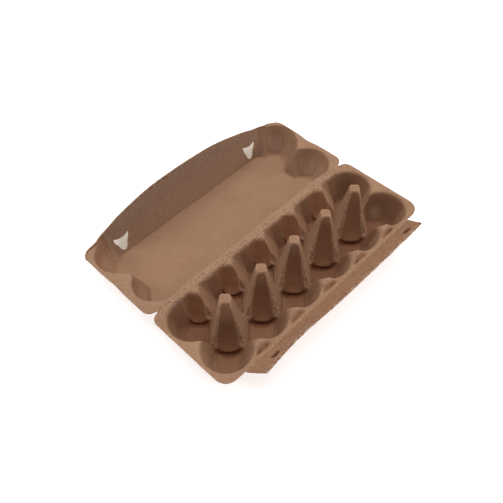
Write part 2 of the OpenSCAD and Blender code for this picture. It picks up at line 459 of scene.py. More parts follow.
@dataclass(frozen=True)
class PulpFinish:
    """A matt pulp surface: its colours, and how strongly each trait of the pulp shows.

    It reads four values from a piece's points: relief, tone, the painted shade in the cells and rough.
    Relief paints highlights on crests and shade in creases. Tone up to 1 leads to the pressed colour,
    which also paints shade, above 1 to the painted shadow of a gap, and below 0 to painted highlights in
    the pale colour. The cells' painted shade up to 1 leads to the deep colour, and above 1 to a gap's.
    """

    name: str
    base: Colour = (0.40, 0.24, 0.147)
    # Pale flecks and crumbs, also the colour of painted highlights
    pale: Colour = (0.50, 0.325, 0.215)
    # Mottling and speckle, also the colour of painted shade in the cells, creases and crumb hollows
    deep: Colour = (0.26, 0.135, 0.077)
    # Smooth pressed pulp, also the colour of painted shade on pads, walls, folds and pits
    pressed: Colour = (0.265, 0.112, 0.057)
    # Painted shadow in the gaps under the pads' feet and on the darkest floors
    gap: Colour = (0.105, 0.042, 0.026)
    # Relief spans of the painted shade in creases and of the painted highlight on crests
    crease_shade_span: Span = (-0.04, -0.45)
    crest_highlight_span: Span = (0.05, 0.5)
    mottle_span: Span = (0.25, 0.75)
    speckle_span: Span = (0.3, 0.7)
    mottle: float = 0.25
    # Strengths of painted highlights where tone is below 0, of the painted highlight on crests and of the
    # painted shade in creases
    paler: float = -0.7
    crest: float = 0.35
    crease: float = 0.55
    grain: float = 0.75
    coarser: float = 0.8
    speckle: float = 0.5
    fleck: float = 0.6
    fleck_loss: float = 0.85
    # Strengths of the painted shade in crumb hollows and of the painted highlight on raised crumbs
    hollow_shade: float = 0.9
    crumb: float = 0.65
    gloss: float = 0.05
    matt: float = 0.88
    matt_spread: float = 0.08
    bump: float = 0.6
    bump_height: float = 0.6 * MM

    def sheet_colour(self, bench: NodeBench, mottle: Socket, marks: dict[str, Socket]) -> Socket:
        """Colour of the sheet before its grain: its mottling, painted shade and painted highlights.

        Args:
            bench: The bench of the material.
            mottle: The grain's broad mottling.
            marks: The values on the piece's points.

        Returns:
            The colour.
        """
        tone, dim, relief = marks["tone"], marks["dim"], marks["relief"]
        cloudy = bench.scaled(bench.ramp(mottle, *self.mottle_span), self.mottle)
        colour = bench.mix(cloudy, self.base, self.deep)
        # Painted shade inside the cells, which reaches the colour of a gap on the darkest floors
        colour = bench.mix(dim, colour, self.deep)
        colour = bench.mix(bench.math("SUBTRACT", dim, 1.0, clamp=True), colour, self.gap)
        # Pressed pulp and painted shade, then painted highlights where tone is below 0
        colour = bench.mix(bench.scaled(tone, 1.0, clamp=True), colour, self.pressed)
        colour = bench.mix(bench.scaled(tone, self.paler, clamp=True), colour, self.pale)
        # Painted highlight on crests and free edges, painted shade in creases
        crest = bench.scaled(bench.ramp(relief, *self.crest_highlight_span), self.crest)
        colour = bench.mix(crest, colour, self.pale)
        crease = bench.scaled(bench.ramp(relief, *self.crease_shade_span), self.crease)
        return bench.mix(crease, colour, self.deep)

    def grain_colour(
        self, bench: NodeBench, colour: Socket, grain: dict[str, Socket], marks: dict[str, Socket]
    ) -> Socket:
        """Adds speckle, pale flecks and crumbs, with painted shade and highlight, to the sheet's colour.

        Args:
            bench: The bench of the material.
            colour: The sheet's colour.
            grain: Speckle, flecks and crumbs of the grain.
            marks: The values on the piece's points.

        Returns:
            The colour with its grain.
        """
        rough, crumb = marks["rough"], grain["Crumb"]
        coarse = bench.math("ADD", bench.scaled(rough, self.coarser), self.grain)
        speckle = bench.scaled(grain["Speckle"], bench.scaled(coarse, self.speckle))
        colour = bench.mix(speckle, colour, self.deep)
        fleck = bench.scaled(grain["Fleck"], bench.scaled(coarse, self.fleck))
        dark = bench.math("ADD", marks["dim"], marks["tone"], clamp=True)
        kept = bench.math("SUBTRACT", 1.0, bench.scaled(dark, self.fleck_loss))
        colour = bench.mix(bench.scaled(fleck, kept), colour, self.pale)
        # Crumbs: painted shade in their hollows and painted highlight where they are raised
        hollow_shade = bench.scaled(bench.math("SUBTRACT", 1.0, crumb), rough)
        colour = bench.mix(bench.scaled(hollow_shade, self.hollow_shade, clamp=True), colour, self.deep)
        raised_highlight = bench.scaled(bench.scaled(crumb, rough), self.crumb, clamp=True)
        return bench.mix(raised_highlight, colour, self.pale)

    def material(self) -> bpy.types.Material:
        """Builds the finish.

        Returns:
            The material.
        """
        material = bpy.data.materials.new(self.name)
        material.use_nodes = True
        bench = NodeBench(material.node_tree)
        place = bench.add("ShaderNodeTexCoord").outputs["Object"]
        pulp = bench.add("ShaderNodeGroup", node_tree=PulpGrain.group())
        bench.join(place, pulp.inputs["Place"])
        marks = {name: bench.read(name) for name in ("relief", "tone", "dim", "rough")}
        grain = {name: pulp.outputs[name] for name in ("Fleck", "Crumb")}
        grain["Speckle"] = bench.ramp(pulp.outputs["Speckle"], *self.speckle_span)
        colour = self.sheet_colour(bench, pulp.outputs["Mottle"], marks)
        colour = self.grain_colour(bench, colour, grain, marks)
        # Painted shadow of the gaps under the pads' feet, where tone is above 1
        colour = bench.mix(bench.math("SUBTRACT", marks["tone"], 1.0, clamp=True), colour, self.gap)
        shader = material.node_tree.nodes["Principled BSDF"]
        shader.inputs["Specular IOR Level"].default_value = self.gloss
        bench.join(colour, shader.inputs["Base Color"])
        matt = bench.math("ADD", bench.scaled(grain["Speckle"], self.matt_spread), self.matt)
        bench.join(matt, shader.inputs["Roughness"])
        bump = bench.add("ShaderNodeBump")
        bump.inputs["Strength"].default_value = self.bump
        bump.inputs["Distance"].default_value = self.bump_height
        uneven = bench.math("ADD", pulp.outputs["Height"], bench.scaled(grain["Crumb"], marks["rough"]))
        bench.join(uneven, bump.inputs["Height"])
        bench.join(bump.outputs["Normal"], shader.inputs["Normal"])
        return material


@dataclass
class MouldedSheet:
    """A thin moulded sheet: what all pieces of the carton share."""

    carton: CartonFrame
    body: Body = Body.TRAY
    slot: Slot = Slot.TRAY
    thickness: float = 1.5
    floor_z: float = 1.6
    # Relief of free edges, which the finish paints as a highlight, and the gain of all relief
    edge_relief: float = 0.3
    relief_gain: float = 2.0
    bm: bmesh.types.BMesh = field(default_factory=bmesh.new)

    def build(self, finish: bpy.types.Material) -> bpy.types.Object:
        """Builds the sheet, which each kind of sheet does in its own way.

        Args:
            finish: The sheet's material.

        Returns:
            The sheet's piece.
        """
        raise NotImplementedError

    def dress(self, piece: bpy.types.Object, nodes: list[str]) -> None:
        """Puts a built piece on its body in place of CAD nodes.

        Args:
            piece: The piece.
            nodes: The CAD nodes that it stands for.
        """
        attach(piece, self.body.value)
        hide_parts(*nodes)

    def lay_grid(self, points: np.ndarray) -> None:
        """Adds a grid of faces and brings its corners to the given places.

        Args:
            points: Places in tray millimetres, by column, row and axis.
        """
        columns, rows = points.shape[0] - 1, points.shape[1] - 1
        made = bmesh.ops.create_grid(self.bm, x_segments=columns, y_segments=rows, size=1.0)["verts"]
        metres = self.carton.to_metres(points)
        for vert in made:
            column = round((vert.co.x + 1.0) / 2.0 * columns)
            row = round((vert.co.y + 1.0) / 2.0 * rows)
            vert.co = metres[column, row]

    def weld(self) -> None:
        """Welds the grids into one sheet whose upper face looks up."""
        bmesh.ops.remove_doubles(self.bm, verts=self.bm.verts[:], dist=WELD)
        bmesh.ops.dissolve_degenerate(self.bm, dist=WELD / 4, edges=self.bm.edges[:])
        bmesh.ops.recalc_face_normals(self.bm, faces=self.bm.faces[:])
        self.bm.normal_update()
        if sum(face.normal.z * face.calc_area() for face in self.bm.faces) < 0:
            bmesh.ops.reverse_faces(self.bm, faces=self.bm.faces[:])
        self.bm.normal_update()

    def soften(self, passes: int, factor: float = 0.5, below: float = math.inf) -> None:
        """Rounds off the sheet's bends and leaves its free edges.

        Args:
            passes: How often the sheet is smoothed.
            factor: How far each pass goes.
            below: Height in millimetres from which the sheet is left sharp.
        """
        inner = [vert for vert in self.bm.verts if not vert.is_boundary and vert.co.z < below * MM]
        for _ in range(passes):
            bmesh.ops.smooth_vert(
                self.bm, verts=inner, factor=factor, use_axis_x=True, use_axis_y=True, use_axis_z=True
            )

    def places(self) -> np.ndarray:
        """The sheet's points in tray millimetres."""
        return self.carton.from_metres(np.array([vert.co for vert in self.bm.verts]))

    def press(self, shape: Callable[[np.ndarray, np.ndarray], np.ndarray], hold_edge: bool = False) -> None:
        """Moves the sheet's points.

        Args:
            shape: Takes places and normals in tray millimetres and gives the new places.
            hold_edge: Whether the sheet's free edge stays where it is.
        """
        self.bm.normal_update()
        normals = np.array([vert.normal for vert in self.bm.verts])
        moved = self.carton.to_metres(shape(self.places(), normals))
        for vert, place in zip(self.bm.verts, moved):
            if not (hold_edge and vert.is_boundary):
                vert.co = place

    def mark_relief(self) -> None:
        """Stores how far each point stands out of or lies below its neighbours."""
        self.bm.normal_update()
        # From this relief the finish paints highlights on crests and free edges and shade in creases
        layer = self.bm.verts.layers.float.new("relief")
        bend: dict[bmesh.types.BMVert, float] = {}
        for vert in self.bm.verts:
            spokes = [edge.other_vert(vert).co - vert.co for edge in vert.link_edges]
            size = sum(spoke.length for spoke in spokes) / len(spokes)
            mean = sum(spokes, Vector()) / len(spokes)
            swell = -mean.dot(vert.normal) / max(size, TINY) * self.relief_gain
            bend[vert] = self.edge_relief if vert.is_boundary else swell
        for vert in self.bm.verts:
            around = [bend[edge.other_vert(vert)] for edge in vert.link_edges]
            vert[layer] = (bend[vert] + sum(around) / len(around)) / 2

    def mark(self, name: str, shade: Callable[[np.ndarray], np.ndarray]) -> None:
        """Stores one value for each point, which the finish reads.

        Args:
            name: The attribute's name.
            shade: Takes places in tray millimetres and gives the values.
        """
        layer = self.bm.verts.layers.float.new(name)
        for vert, value in zip(self.bm.verts, shade(self.places())):
            vert[layer] = value

    def piece(self, name: str, finish: bpy.types.Material) -> bpy.types.Object:
        """Makes the sheet an object with a thickness.

        Args:
            name: The piece's name.
            finish: Its material.

        Returns:
            The new object.
        """
        for face in self.bm.faces:
            face.smooth = True
        for edge in self.bm.edges:
            edge.smooth = not edge.is_boundary
        made = link_mesh(name, self.bm)
        made.data.materials.append(finish)
        wall = made.modifiers.new("wall", "SOLIDIFY")
        wall.thickness = self.thickness * MM
        wall.offset = -1.0
        return made


@dataclass(frozen=True)
class PadFoot:
    """The foot of a pad, which juts out over its cell's floor with a gap under it in painted shade.

    A pad that looks away from the front keeps only a part of the jut and of the gap's painted shade.
    """

    # Shape of the foot
    out: float = 2.3
    half: float = 13.0
    land_half: float = 10.6
    land_shift: float = 2.2
    end_rise: float = 7.0
    start_z: Span = (4.6, 6.6)
    falls: tuple[tuple[float, Span], ...] = ((0.65, (7.5, 15.0)), (0.35, (9.0, 28.0)))
    away_out: float = 0.3
    # Shape of the gap, and where its painted shadow lies
    gap_in: float = 0.2
    gap_low_z: Span = (1.65, 2.2)
    gap_high_z: Span = (4.2, 5.2)
    dark_z: Span = (4.8, 6.0)
    dark_start: float = 7.9
    dark_soft: Span = (-0.5, 0.4)
    dark_ends: Span = (0.86, 0.98)
    away_dark: float = 0.2


@dataclass(frozen=True)
class TrayGrain:
    """Where the tray's pulp is coarse, and how far it is crumpled."""

    # Crumpling
    broad: Unevenness = Unevenness(12.0, 3.1, 0.3)
    fine: Unevenness = Unevenness(3.6, 7.7)
    fine_least: float = 0.1
    fine_coarse: float = 0.65
    knuckle: Unevenness = Unevenness(2.6, 4.4, 1.1)
    curl: float = 2.4
    floor_span: Span = (0.0, 1.5)
    tip_plain: float = 0.3
    flat: float = 0.75
    flat_y: Span = (41.0, 44.0)
    flat_below: float = 2.0
    # Coarse edges, strip and noses
    edge_r: float = 24.0
    edge_top: float = 2.0
    edge: float = 0.5
    border: float = 2.8
    border_z: Span = (9.0, 16.0)
    strip_y: Span = (44.0, 48.0)
    strip_span: Span = (-6.0, -1.0)
    patch: Unevenness = Unevenness(13.0, 2.2)
    patch_span: Span = (-0.25, 0.35)
    patch_least: float = 0.25
    patch_more: float = 0.4
    nose: float = 0.7


@dataclass(frozen=True)
class TrayShades:
    """How much darker or paler the places of the tray are than its plain sheet, mostly as painted shade and
    light.
    """

    # Tone of the pads and their feet, with painted shade on the pads that look to the front, in the gaps
    # under them and on the floors
    pad: float = 0.25
    front_pad_shade: float = 0.45
    front_land_shade: float = 0.35
    foot_loss: float = 0.6
    foot_z: Span = (7.0, 12.0)
    gap: float = 1.2
    # Painted highlight along the edge of each gap
    gap_rim_highlight: float = 2.4
    floor: float = 0.25
    floor_span: Span = (0.2, 1.2)
    # Painted highlight on the curls
    curl: float = 2.0
    # Painted shadow in the folds and wrinkles of the lands, painted highlight on the noses, and the tone of
    # the tips and of one pale spot
    fold: Mark = Mark(y=-49.6, half_x=9.0, half_y=1.1, strength=1.8, sharp=4)
    fold_patch: Unevenness = Unevenness(6.0, 3.7)
    fold_patch_span: Span = (-0.5, 0.4)
    fold_least: float = 0.6
    fold_more: float = 0.6
    wrinkle: float = 0.8
    nose: float = 0.6
    nose_patch: Unevenness = Unevenness(2.6, 4.4)
    tip: float = 0.3
    tip_span: Span = (-2.5, -1.5)
    spot: tuple[float, float, float] = (131.0, -10.0, 12.0)
    spot_half: tuple[float, float, float] = (6.0, 6.5, 8.0)
    spot_pale: float = 0.9
    # Painted shade inside the cells, deepest on the floors and the far walls and more to the right, and the
    # tone of the rim
    inside_span: Span = (0.0, -6.0)
    far_span: Span = (-2.0, 10.0)
    deep_floor_span: Span = (0.5, 3.0)
    back_cell: float = 0.62
    front_cell: float = 0.3
    cell_floor: float = 0.45
    far_wall: float = 0.4
    far_wall_right: float = 0.6
    far_wall_x: Span = (-40.0, 110.0)
    darkest_wall: float = 0.2
    darkest_wall_x: Span = (0.0, 110.0)
    darkest_back: float = 0.5
    darkest_front: float = 0.7
    darkest_front_x: Span = (-60.0, 0.0)
    rim: float = 0.15
    rim_y: float = 30.0
    rim_span: Span = (-2.0, 0.0)


@dataclass
class Tray(MouldedSheet):
    """The tray: two rows of cells between tapered posts, inside a narrow rim."""

    # Cells and rim
    cells: int = 6
    pitch: float = 48.2
    row_pitch: float = 48.0
    mouth_r: float = 26.0
    floor_r: float = 13.5
    facet_inset: float = 0.8
    land_reach: float = 30.5
    land_fade: float = 12.0
    end_fade: float = 9.0
    valley: float = 14.5
    edge_cut: float = 0.8
    fillet: float = 11.0
    pad_fillet: float = 0.8
    lip_round: float = 4.0
    back_round: float = 1.5
    front_corner_r: float = 14.0
    back_corner_r: float = 10.0
    # Posts, by height from floor to tip
    levels: tuple[float, ...] = (1.6, 10.0, 25.0, 45.0, 60.0, 72.0)
    face_r: tuple[float, ...] = (21.0, 18.6, 14.0, 9.7, 7.0, 4.9)
    edge_r: tuple[float, ...] = (25.0, 22.4, 17.4, 12.5, 9.1, 5.7)
    flute_half: tuple[float, ...] = (12.2, 12.0, 10.3, 8.7, 6.5, 3.7)
    flute_sink: tuple[float, ...] = (0.0, 0.0, 0.6, 0.8, 0.5, 0.0)
    flute_reach: float = 1.25
    edge_round: float = 3.0
    edge_round_z: Span = (8.0, 16.0)
    least_round: float = 0.01
    foot_round: float = 0.3
    post_round: float = 6.5
    post_round_z: Span = (10.0, 22.0)
    post_round_across: Span = (10.5, 14.0)
    # Smooth pads on the posts and on the lands at the back
    pad_end: Span = (-4.0, 2.0)
    pad_front: Span = (-3.0, 1.0)
    pad_inset: float = 0.9
    pad_ragged: Unevenness = Unevenness(5.0, 6.3, 0.9)
    pad_soft: Span = (-1.0, 0.8)
    pad_foot_z: Span = (3.0, 6.0)
    pad_top_span: Span = (-3.0, 0.0)
    post_pad_top: float = 1.5
    land_pad_top: float = 0.5
    land_pad_z: tuple[float, ...] = (1.6, 20.0, 37.6)
    land_pad_half: tuple[float, ...] = (11.5, 10.5, 8.5)
    land_crease_half: tuple[float, float] = (5.0, 9.0)
    land_crease_soft: Span = (-0.6, 0.6)
    # Marks on the lands and on the cells' floors
    land_span: Span = (-9.0, -0.5)
    high_z: float = 25.0
    nose_x: float = 0.3
    nose_y: float = -44.0
    nose_half_x: float = 9.0
    nose_half_y: float = 5.2
    nose_sharp: int = 3
    nose_rise: float = 4.6
    nose_top: Mark = Mark(y=-43.6, half_x=6.5, half_y=3.2)
    back_nose: Mark = Mark(y=47.0, half_x=4.5, half_y=4.0, strength=0.2)
    fold: Mark = Mark(y=-49.9, half_x=9.5, half_y=1.3, strength=2.2, sharp=4)
    wrinkle: Mark = Mark(y=-47.2, half_x=6.0, half_y=0.8, sharp=4, slant=0.12)
    wrinkle_sink: float = 1.6
    ring_r: float = 5.8
    ring_half: float = 0.9
    ring_rise: float = 0.5
    ring_below: float = 3.0
    # Curls at the ends of the pads' feet, by offset from the cell's centre and height
    front_curls: tuple[tuple[float, float, float], ...] = ((21.0, -0.9, 11.5), (1.0, -21.0, 9.5))
    back_curls: tuple[tuple[float, float, float], ...] = ((20.6, 2.0, 9.5),)
    curl_half: tuple[float, float, float] = (2.6, 2.6, 3.2)
    curl_soft: float = 0.9
    curl_ragged: Unevenness = Unevenness(3.0, 9.1, 0.35)
    # What the pads' feet, the grain and the shades are made by
    foot: PadFoot = PadFoot()
    grain: TrayGrain = TrayGrain()
    shades: TrayShades = TrayShades()
    # Grid of the sheet
    rings: int = 39
    ray_samples: int = 420
    side_samples: int = 600
    side_density: float = 0.45
    post_density: float = 0.5
    post_reach: float = 6.5
    low_density: float = 1.8
    low_z: Span = (9.0, 16.0)
    steep_slope: Span = (0.3, 1.0)
    tip_density: float = 0.9
    tip_span: Span = (-6.0, -1.0)
    front_density: float = 0.8
    front_y: Span = (-40.0, -44.0)
    sharp_top: float = 3.0

    def __post_init__(self) -> None:
        """Works out the directions that the posts' faces look in."""
        facing = math.atan2(self.row_pitch, self.pitch)
        self.face_x, self.face_y = math.cos(facing), math.sin(facing)
        self.depth = self.carton.rim_z - self.floor_z

    def cell_place(self, x: np.ndarray, y: np.ndarray) -> tuple[np.ndarray, np.ndarray, np.ndarray]:
        """Finds the cell that holds each point.

        Args:
            x: Places along the tray.
            y: Places across the tray.

        Returns:
            The offsets from the cell's centre, the second one away from the tray's middle, and
            the first one again, counted towards the tray's end in an end cell and 0 in others.
        """
        number = np.clip(np.floor(x / self.pitch + self.cells / 2), 0, self.cells - 1)
        dx = x - (number - (self.cells - 1) / 2) * self.pitch
        end = np.where(number == 0, -1.0, np.where(number == self.cells - 1, 1.0, 0.0))
        return dx, np.abs(y) - self.row_pitch / 2, dx * end

    def post_offset(self, x: np.ndarray) -> np.ndarray:
        """Offset along the tray from the nearest post."""
        reach = self.cells / 2 - 1
        return x - np.clip(np.round(x / self.pitch), -reach, reach) * self.pitch

    def along_face(self, dx: np.ndarray, dy: np.ndarray) -> np.ndarray:
        """Distance from a centre along the nearest diagonal."""
        return np.abs(dx) * self.face_x + np.abs(dy) * self.face_y

    def across_face(self, dx: np.ndarray, dy: np.ndarray) -> np.ndarray:
        """Distance from the nearest diagonal."""
        return np.abs(np.abs(dx) * self.face_y - np.abs(dy) * self.face_x)

    def cup_height(self, x: np.ndarray, y: np.ndarray) -> np.ndarray:
        """Height of the cells and the flat lands between them.

        Args:
            x: Places along the tray.
            y: Places across the tray.

        Returns:
            The height at each place.
        """
        dx, dy, outward = self.cell_place(x, y)
        radius = np.hypot(dx, dy)
        beyond = self.along_face(dx, dy) - self.floor_r + self.facet_inset
        slope = self.depth / (self.mouth_r - self.floor_r)
        gentle = self.depth / (self.land_reach - self.floor_r + self.facet_inset)
        squared = (dy <= radius * DIAGONAL) & (outward <= radius * DIAGONAL)
        round_wall = slope * (radius - self.floor_r)
        climb = np.where(squared, np.minimum(round_wall, slope * beyond), round_wall)
        land = beyond * (slope + (gentle - slope) * smoothstep(0.0, self.land_fade, dy))
        hinge_wall = self.depth * (dy - self.valley) / (self.mouth_r - self.valley)
        behind = soft_max(land, hinge_wall, self.back_round)
        at_end = smoothstep(-self.end_fade, 0.0, np.where(outward == 0.0, -self.end_fade, outward))
        behind = behind * (1.0 - at_end) + round_wall * at_end
        climb = np.where((y > 0) & (dy > 0), behind, climb)
        fillet = self.pad_fillet + (self.fillet - self.pad_fillet) * (1.0 - self.padded(x, y))
        return self.floor_z + soft_min(soft_max(climb, 0.0, fillet), self.depth, self.lip_round)

    def padded(self, x: np.ndarray, y: np.ndarray) -> np.ndarray:
        """How far each place faces a post or a back land across its cell's corner.

        Args:
            x: Places along the tray.
            y: Places across the tray.

        Returns:
            1 where a pad faces the cell, 0 on the round walls, with a soft change.
        """
        _, dy, outward = self.cell_place(x, y)
        beside = 1.0 - smoothstep(*self.pad_end, outward) * (outward != 0.0)
        return beside * np.where(y > 0, 1.0, 1.0 - smoothstep(*self.pad_front, dy))

    def foot_share(self, dx: np.ndarray, dy: np.ndarray) -> np.ndarray:
        """How far each place lies from the middle of the nearest pad's foot.

        Args:
            dx: Offsets from the cell's centre along the tray.
            dy: Offsets from it away from the tray's middle.

        Returns:
            0 in the middle of the foot and 1 at its ends and beyond them.
        """
        foot = self.foot
        side = np.abs(dx) * self.face_y - np.abs(dy) * self.face_x
        share = np.where(dy < 0.0, side / foot.half, (side - foot.land_shift) / foot.land_half)
        return np.minimum(np.abs(share), 1.0)

    def to_front(self, x: np.ndarray, y: np.ndarray) -> np.ndarray:
        """Which places belong to a pad that looks to the front and to the left.

        Args:
            x: Places along the tray.
            y: Places across the tray.

        Returns:
            1 for such a pad and 0 for the others.
        """
        dx, dy, _ = self.cell_place(x, y)
        return np.where(dy < 0.0, (dx > 0.0) & (y < 0.0), (dx > 0.0) & (y > 0.0)) * 1.0

    def post_height(self, x: np.ndarray, y: np.ndarray) -> np.ndarray:
        """Height of the nearest post.

        Args:
            x: Places along the tray.
            y: Places across the tray.

        Returns:
            The height at each place, and the floor's height away from the post.
        """
        dx = self.post_offset(x)
        along, across = self.along_face(dx, y), self.across_face(dx, y)
        level = np.interp(along, self.face_r[::-1], self.levels[::-1])
        share = np.minimum(across / np.interp(level, self.levels, self.flute_half), self.flute_reach)
        sunk = along - np.interp(level, self.levels, self.flute_sink) * share**2
        face = np.interp(sunk, self.face_r[::-1], self.levels[::-1])
        edge = np.interp(np.hypot(dx, y), self.edge_r[::-1], self.levels[::-1])
        round_off = self.edge_round * smoothstep(*self.edge_round_z, edge) + self.least_round
        return soft_min(face, edge, round_off)

    def height(self, x: np.ndarray, y: np.ndarray) -> np.ndarray:
        """Height of the tray's upper face.

        Args:
            x: Places along the tray.
            y: Places across the tray.

        Returns:
            The height at each place.
        """
        cup, post = self.cup_height(x, y), self.post_height(x, y)
        beside = smoothstep(*self.post_round_across, self.across_face(self.post_offset(x), y))
        high = smoothstep(*self.post_round_z, np.maximum(cup, post))
        return soft_max(cup, post, self.foot_round + self.post_round * np.maximum(high, beside))

    def side_stops(self, length: float, low_post: bool, high_post: bool) -> np.ndarray:
        """Places along one side of a tile, closer together beside posts.

        Args:
            length: Length of the side.
            low_post: Whether a post stands at its start.
            high_post: Whether a post stands at its end.

        Returns:
            Shares of the length from 0 up to, but not including, 1.
        """
        fine = np.linspace(0.0, length, self.side_samples)
        density = np.full(self.side_samples, self.side_density)
        for place, post in ((0.0, low_post), (length, high_post)):
            density += self.post_density * hill(fine - place, self.post_reach) * post
        run = np.concatenate([[0.0], np.cumsum((density[1:] + density[:-1]) / 2 * np.diff(fine))])
        return np.interp(np.linspace(0, run[-1], round(run[-1]) + 1), run, fine / length)[:-1]

    def tile_edge(self, column: int, row: Row) -> np.ndarray:
        """Points round one cell's share of the tray.

        Args:
            column: The cell's place in its row, from 0.
            row: The cell's row.

        Returns:
            The points, the last one on the first.
        """
        half_l, out = self.carton.half_length, self.carton.half_width - self.edge_cut
        post0, post1 = column > 0, column < self.cells - 1
        x0 = (column - self.cells / 2) * self.pitch if post0 else -half_l
        x1 = (column + 1 - self.cells / 2) * self.pitch if post1 else half_l
        inner = self.side_stops(x1 - x0, post0, post1)
        plain = self.side_stops(x1 - x0, False, False)
        up = self.side_stops(out, post1, False)
        left = self.side_stops(out, post0, False)
        sides = [
            np.stack([x0 + (x1 - x0) * inner, 0 * inner], 1),
            np.stack([x1 + 0 * up, out * up], 1),
            np.stack([x1 + (x0 - x1) * plain, out + 0 * plain], 1),
            np.stack([x0 + 0 * left, out * np.concatenate([[1.0], left[:0:-1]])], 1),
        ]
        points = np.concatenate(sides)
        corner_r = self.front_corner_r if row is Row.FRONT else self.back_corner_r
        core = np.array([half_l - corner_r, out - corner_r])
        over = np.maximum(np.abs(points) - core, 0.0)
        reach = np.hypot(over[:, 0], over[:, 1])
        scale = np.where(reach > corner_r, corner_r / np.maximum(reach, TINY), 1.0)
        bent = np.abs(points) - over + over * scale[:, None]
        points = np.where(over.min(1, keepdims=True) > 0, np.sign(points) * bent, points)
        points[:, 1] *= row.value
        return np.concatenate([points, points[:1]])

    def lay_cell(self, column: int, row: Row) -> None:
        """Lays one cell's share as rays from the middle of its floor to its edge.

        The rings lie closer together at the pads' feet, on the tips and on the noses in front.

        Args:
            column: The cell's place in its row, from 0.
            row: The cell's row.
        """
        edge = self.tile_edge(column, row)
        centre = np.array([(column - (self.cells - 1) / 2) * self.pitch, row.value * self.row_pitch / 2])
        fine = np.linspace(0.0, 1.0, self.ray_samples)
        paths = centre + (edge - centre)[:, None, :] * fine[None, :, None]
        heights = self.height(paths[..., 0], paths[..., 1])
        level = np.diff(np.linalg.norm(paths - centre, axis=2), axis=1)
        climb = np.diff(heights, axis=1)
        middle = (heights[:, 1:] + heights[:, :-1]) / 2
        low = 1.0 - smoothstep(*self.low_z, middle)
        steep = smoothstep(*self.steep_slope, np.abs(climb) / np.maximum(level, TINY))
        tip = smoothstep(*self.tip_span, middle - self.carton.tip_z)
        front = smoothstep(*self.front_y, (paths[:, 1:, 1] + paths[:, :-1, 1]) / 2)
        closer = self.low_density * low * steep + self.tip_density * tip + self.front_density * front
        steps = np.hypot(level, climb) * (1.0 + closer)
        run = np.concatenate([np.zeros((len(edge), 1)), np.cumsum(steps, 1)], 1)
        stops = np.linspace(0.0, 1.0, self.rings + 1)
        share = np.stack([np.interp(stops * one[-1], one, fine) for one in run])
        flat = centre + (edge - centre)[:, None, :] * share[..., None]
        top = self.height(flat[..., 0], flat[..., 1])
        self.lay_grid(np.concatenate([flat, top[..., None]], 2))

    def pad_share(self, places: np.ndarray) -> np.ndarray:
        """How far each point belongs to a smooth pad between two rough edges.

        Args:
            places: The sheet's points.

        Returns:
            1 on a pad and 0 off it.
        """
        x, y, z = places.T
        dx, dy, _ = self.cell_place(x, y)
        on_post = dy < 0.0
        across = np.where(on_post, self.across_face(self.post_offset(x), y), self.across_face(dx, dy))
        post_half = np.interp(z, self.levels, self.flute_half) - self.pad_inset
        land_half = np.interp(z, self.land_pad_z, self.land_pad_half)
        half = np.where(on_post, post_half, land_half) + self.pad_ragged.at(places)
        share = 1.0 - smoothstep(*self.pad_soft, across - half)
        crease = np.interp(z, (self.floor_z, self.carton.rim_z), self.land_crease_half)
        beside = smoothstep(*self.land_crease_soft, np.abs(dx) - crease)
        share = np.where(~on_post & (dy > np.abs(dx)), beside, share)
        top = np.where(
            on_post, self.carton.tip_z - self.post_pad_top, self.carton.rim_z - self.land_pad_top
        )
        share = share * smoothstep(*self.pad_foot_z, z) * (1.0 - smoothstep(*self.pad_top_span, z - top))
        return share * self.padded(x, y)

    def press_toes(self, places: np.ndarray, normals: np.ndarray) -> np.ndarray:
        """Pushes the foot of each pad out over the cell floor, with a dark gap under it.

        Args:
            places: The sheet's points.
            normals: Their normals.

        Returns:
            The moved points.
        """
        x, y, z = places.T
        dx, dy, _ = self.cell_place(x, y)
        foot, share = self.foot, self.foot_share(dx, dy)
        jut = foot.away_out + (1.0 - foot.away_out) * self.to_front(x, y)
        wide = np.sqrt(1.0 - share**2) * self.padded(x, y) * jut
        step = z - foot.end_rise * share**4
        fall = sum(part * (1.0 - smoothstep(*span, step)) for part, span in foot.falls)
        under = smoothstep(*foot.gap_low_z, step) * (1.0 - smoothstep(*foot.gap_high_z, step))
        push = (foot.out * smoothstep(*foot.start_z, step) * fall - foot.gap_in * under) * wide
        moved = places.copy()
        moved[:, 0] -= np.sign(dx) * push * self.face_x
        moved[:, 1] -= np.sign(dy) * np.sign(y) * push * self.face_y
        return moved

    def gap_shade_share(self, places: np.ndarray) -> np.ndarray:
        """How far each point lies in the painted shadow of the gap under the foot of a pad.

        Args:
            places: The sheet's points, with the feet already pushed out.

        Returns:
            1 in a gap and 0 outside it.
        """
        x, y, z = places.T
        dx, dy, _ = self.cell_place(x, y)
        foot, share = self.foot, self.foot_share(dx, dy)
        low = 1.0 - smoothstep(*foot.dark_z, z - foot.end_rise * share**4)
        low *= smoothstep(*foot.dark_soft, self.along_face(dx, dy) - foot.dark_start)
        wide = 1.0 - smoothstep(*foot.dark_ends, share)
        dark = foot.away_dark + (1.0 - foot.away_dark) * self.to_front(x, y)
        return low * wide * self.padded(x, y) * dark

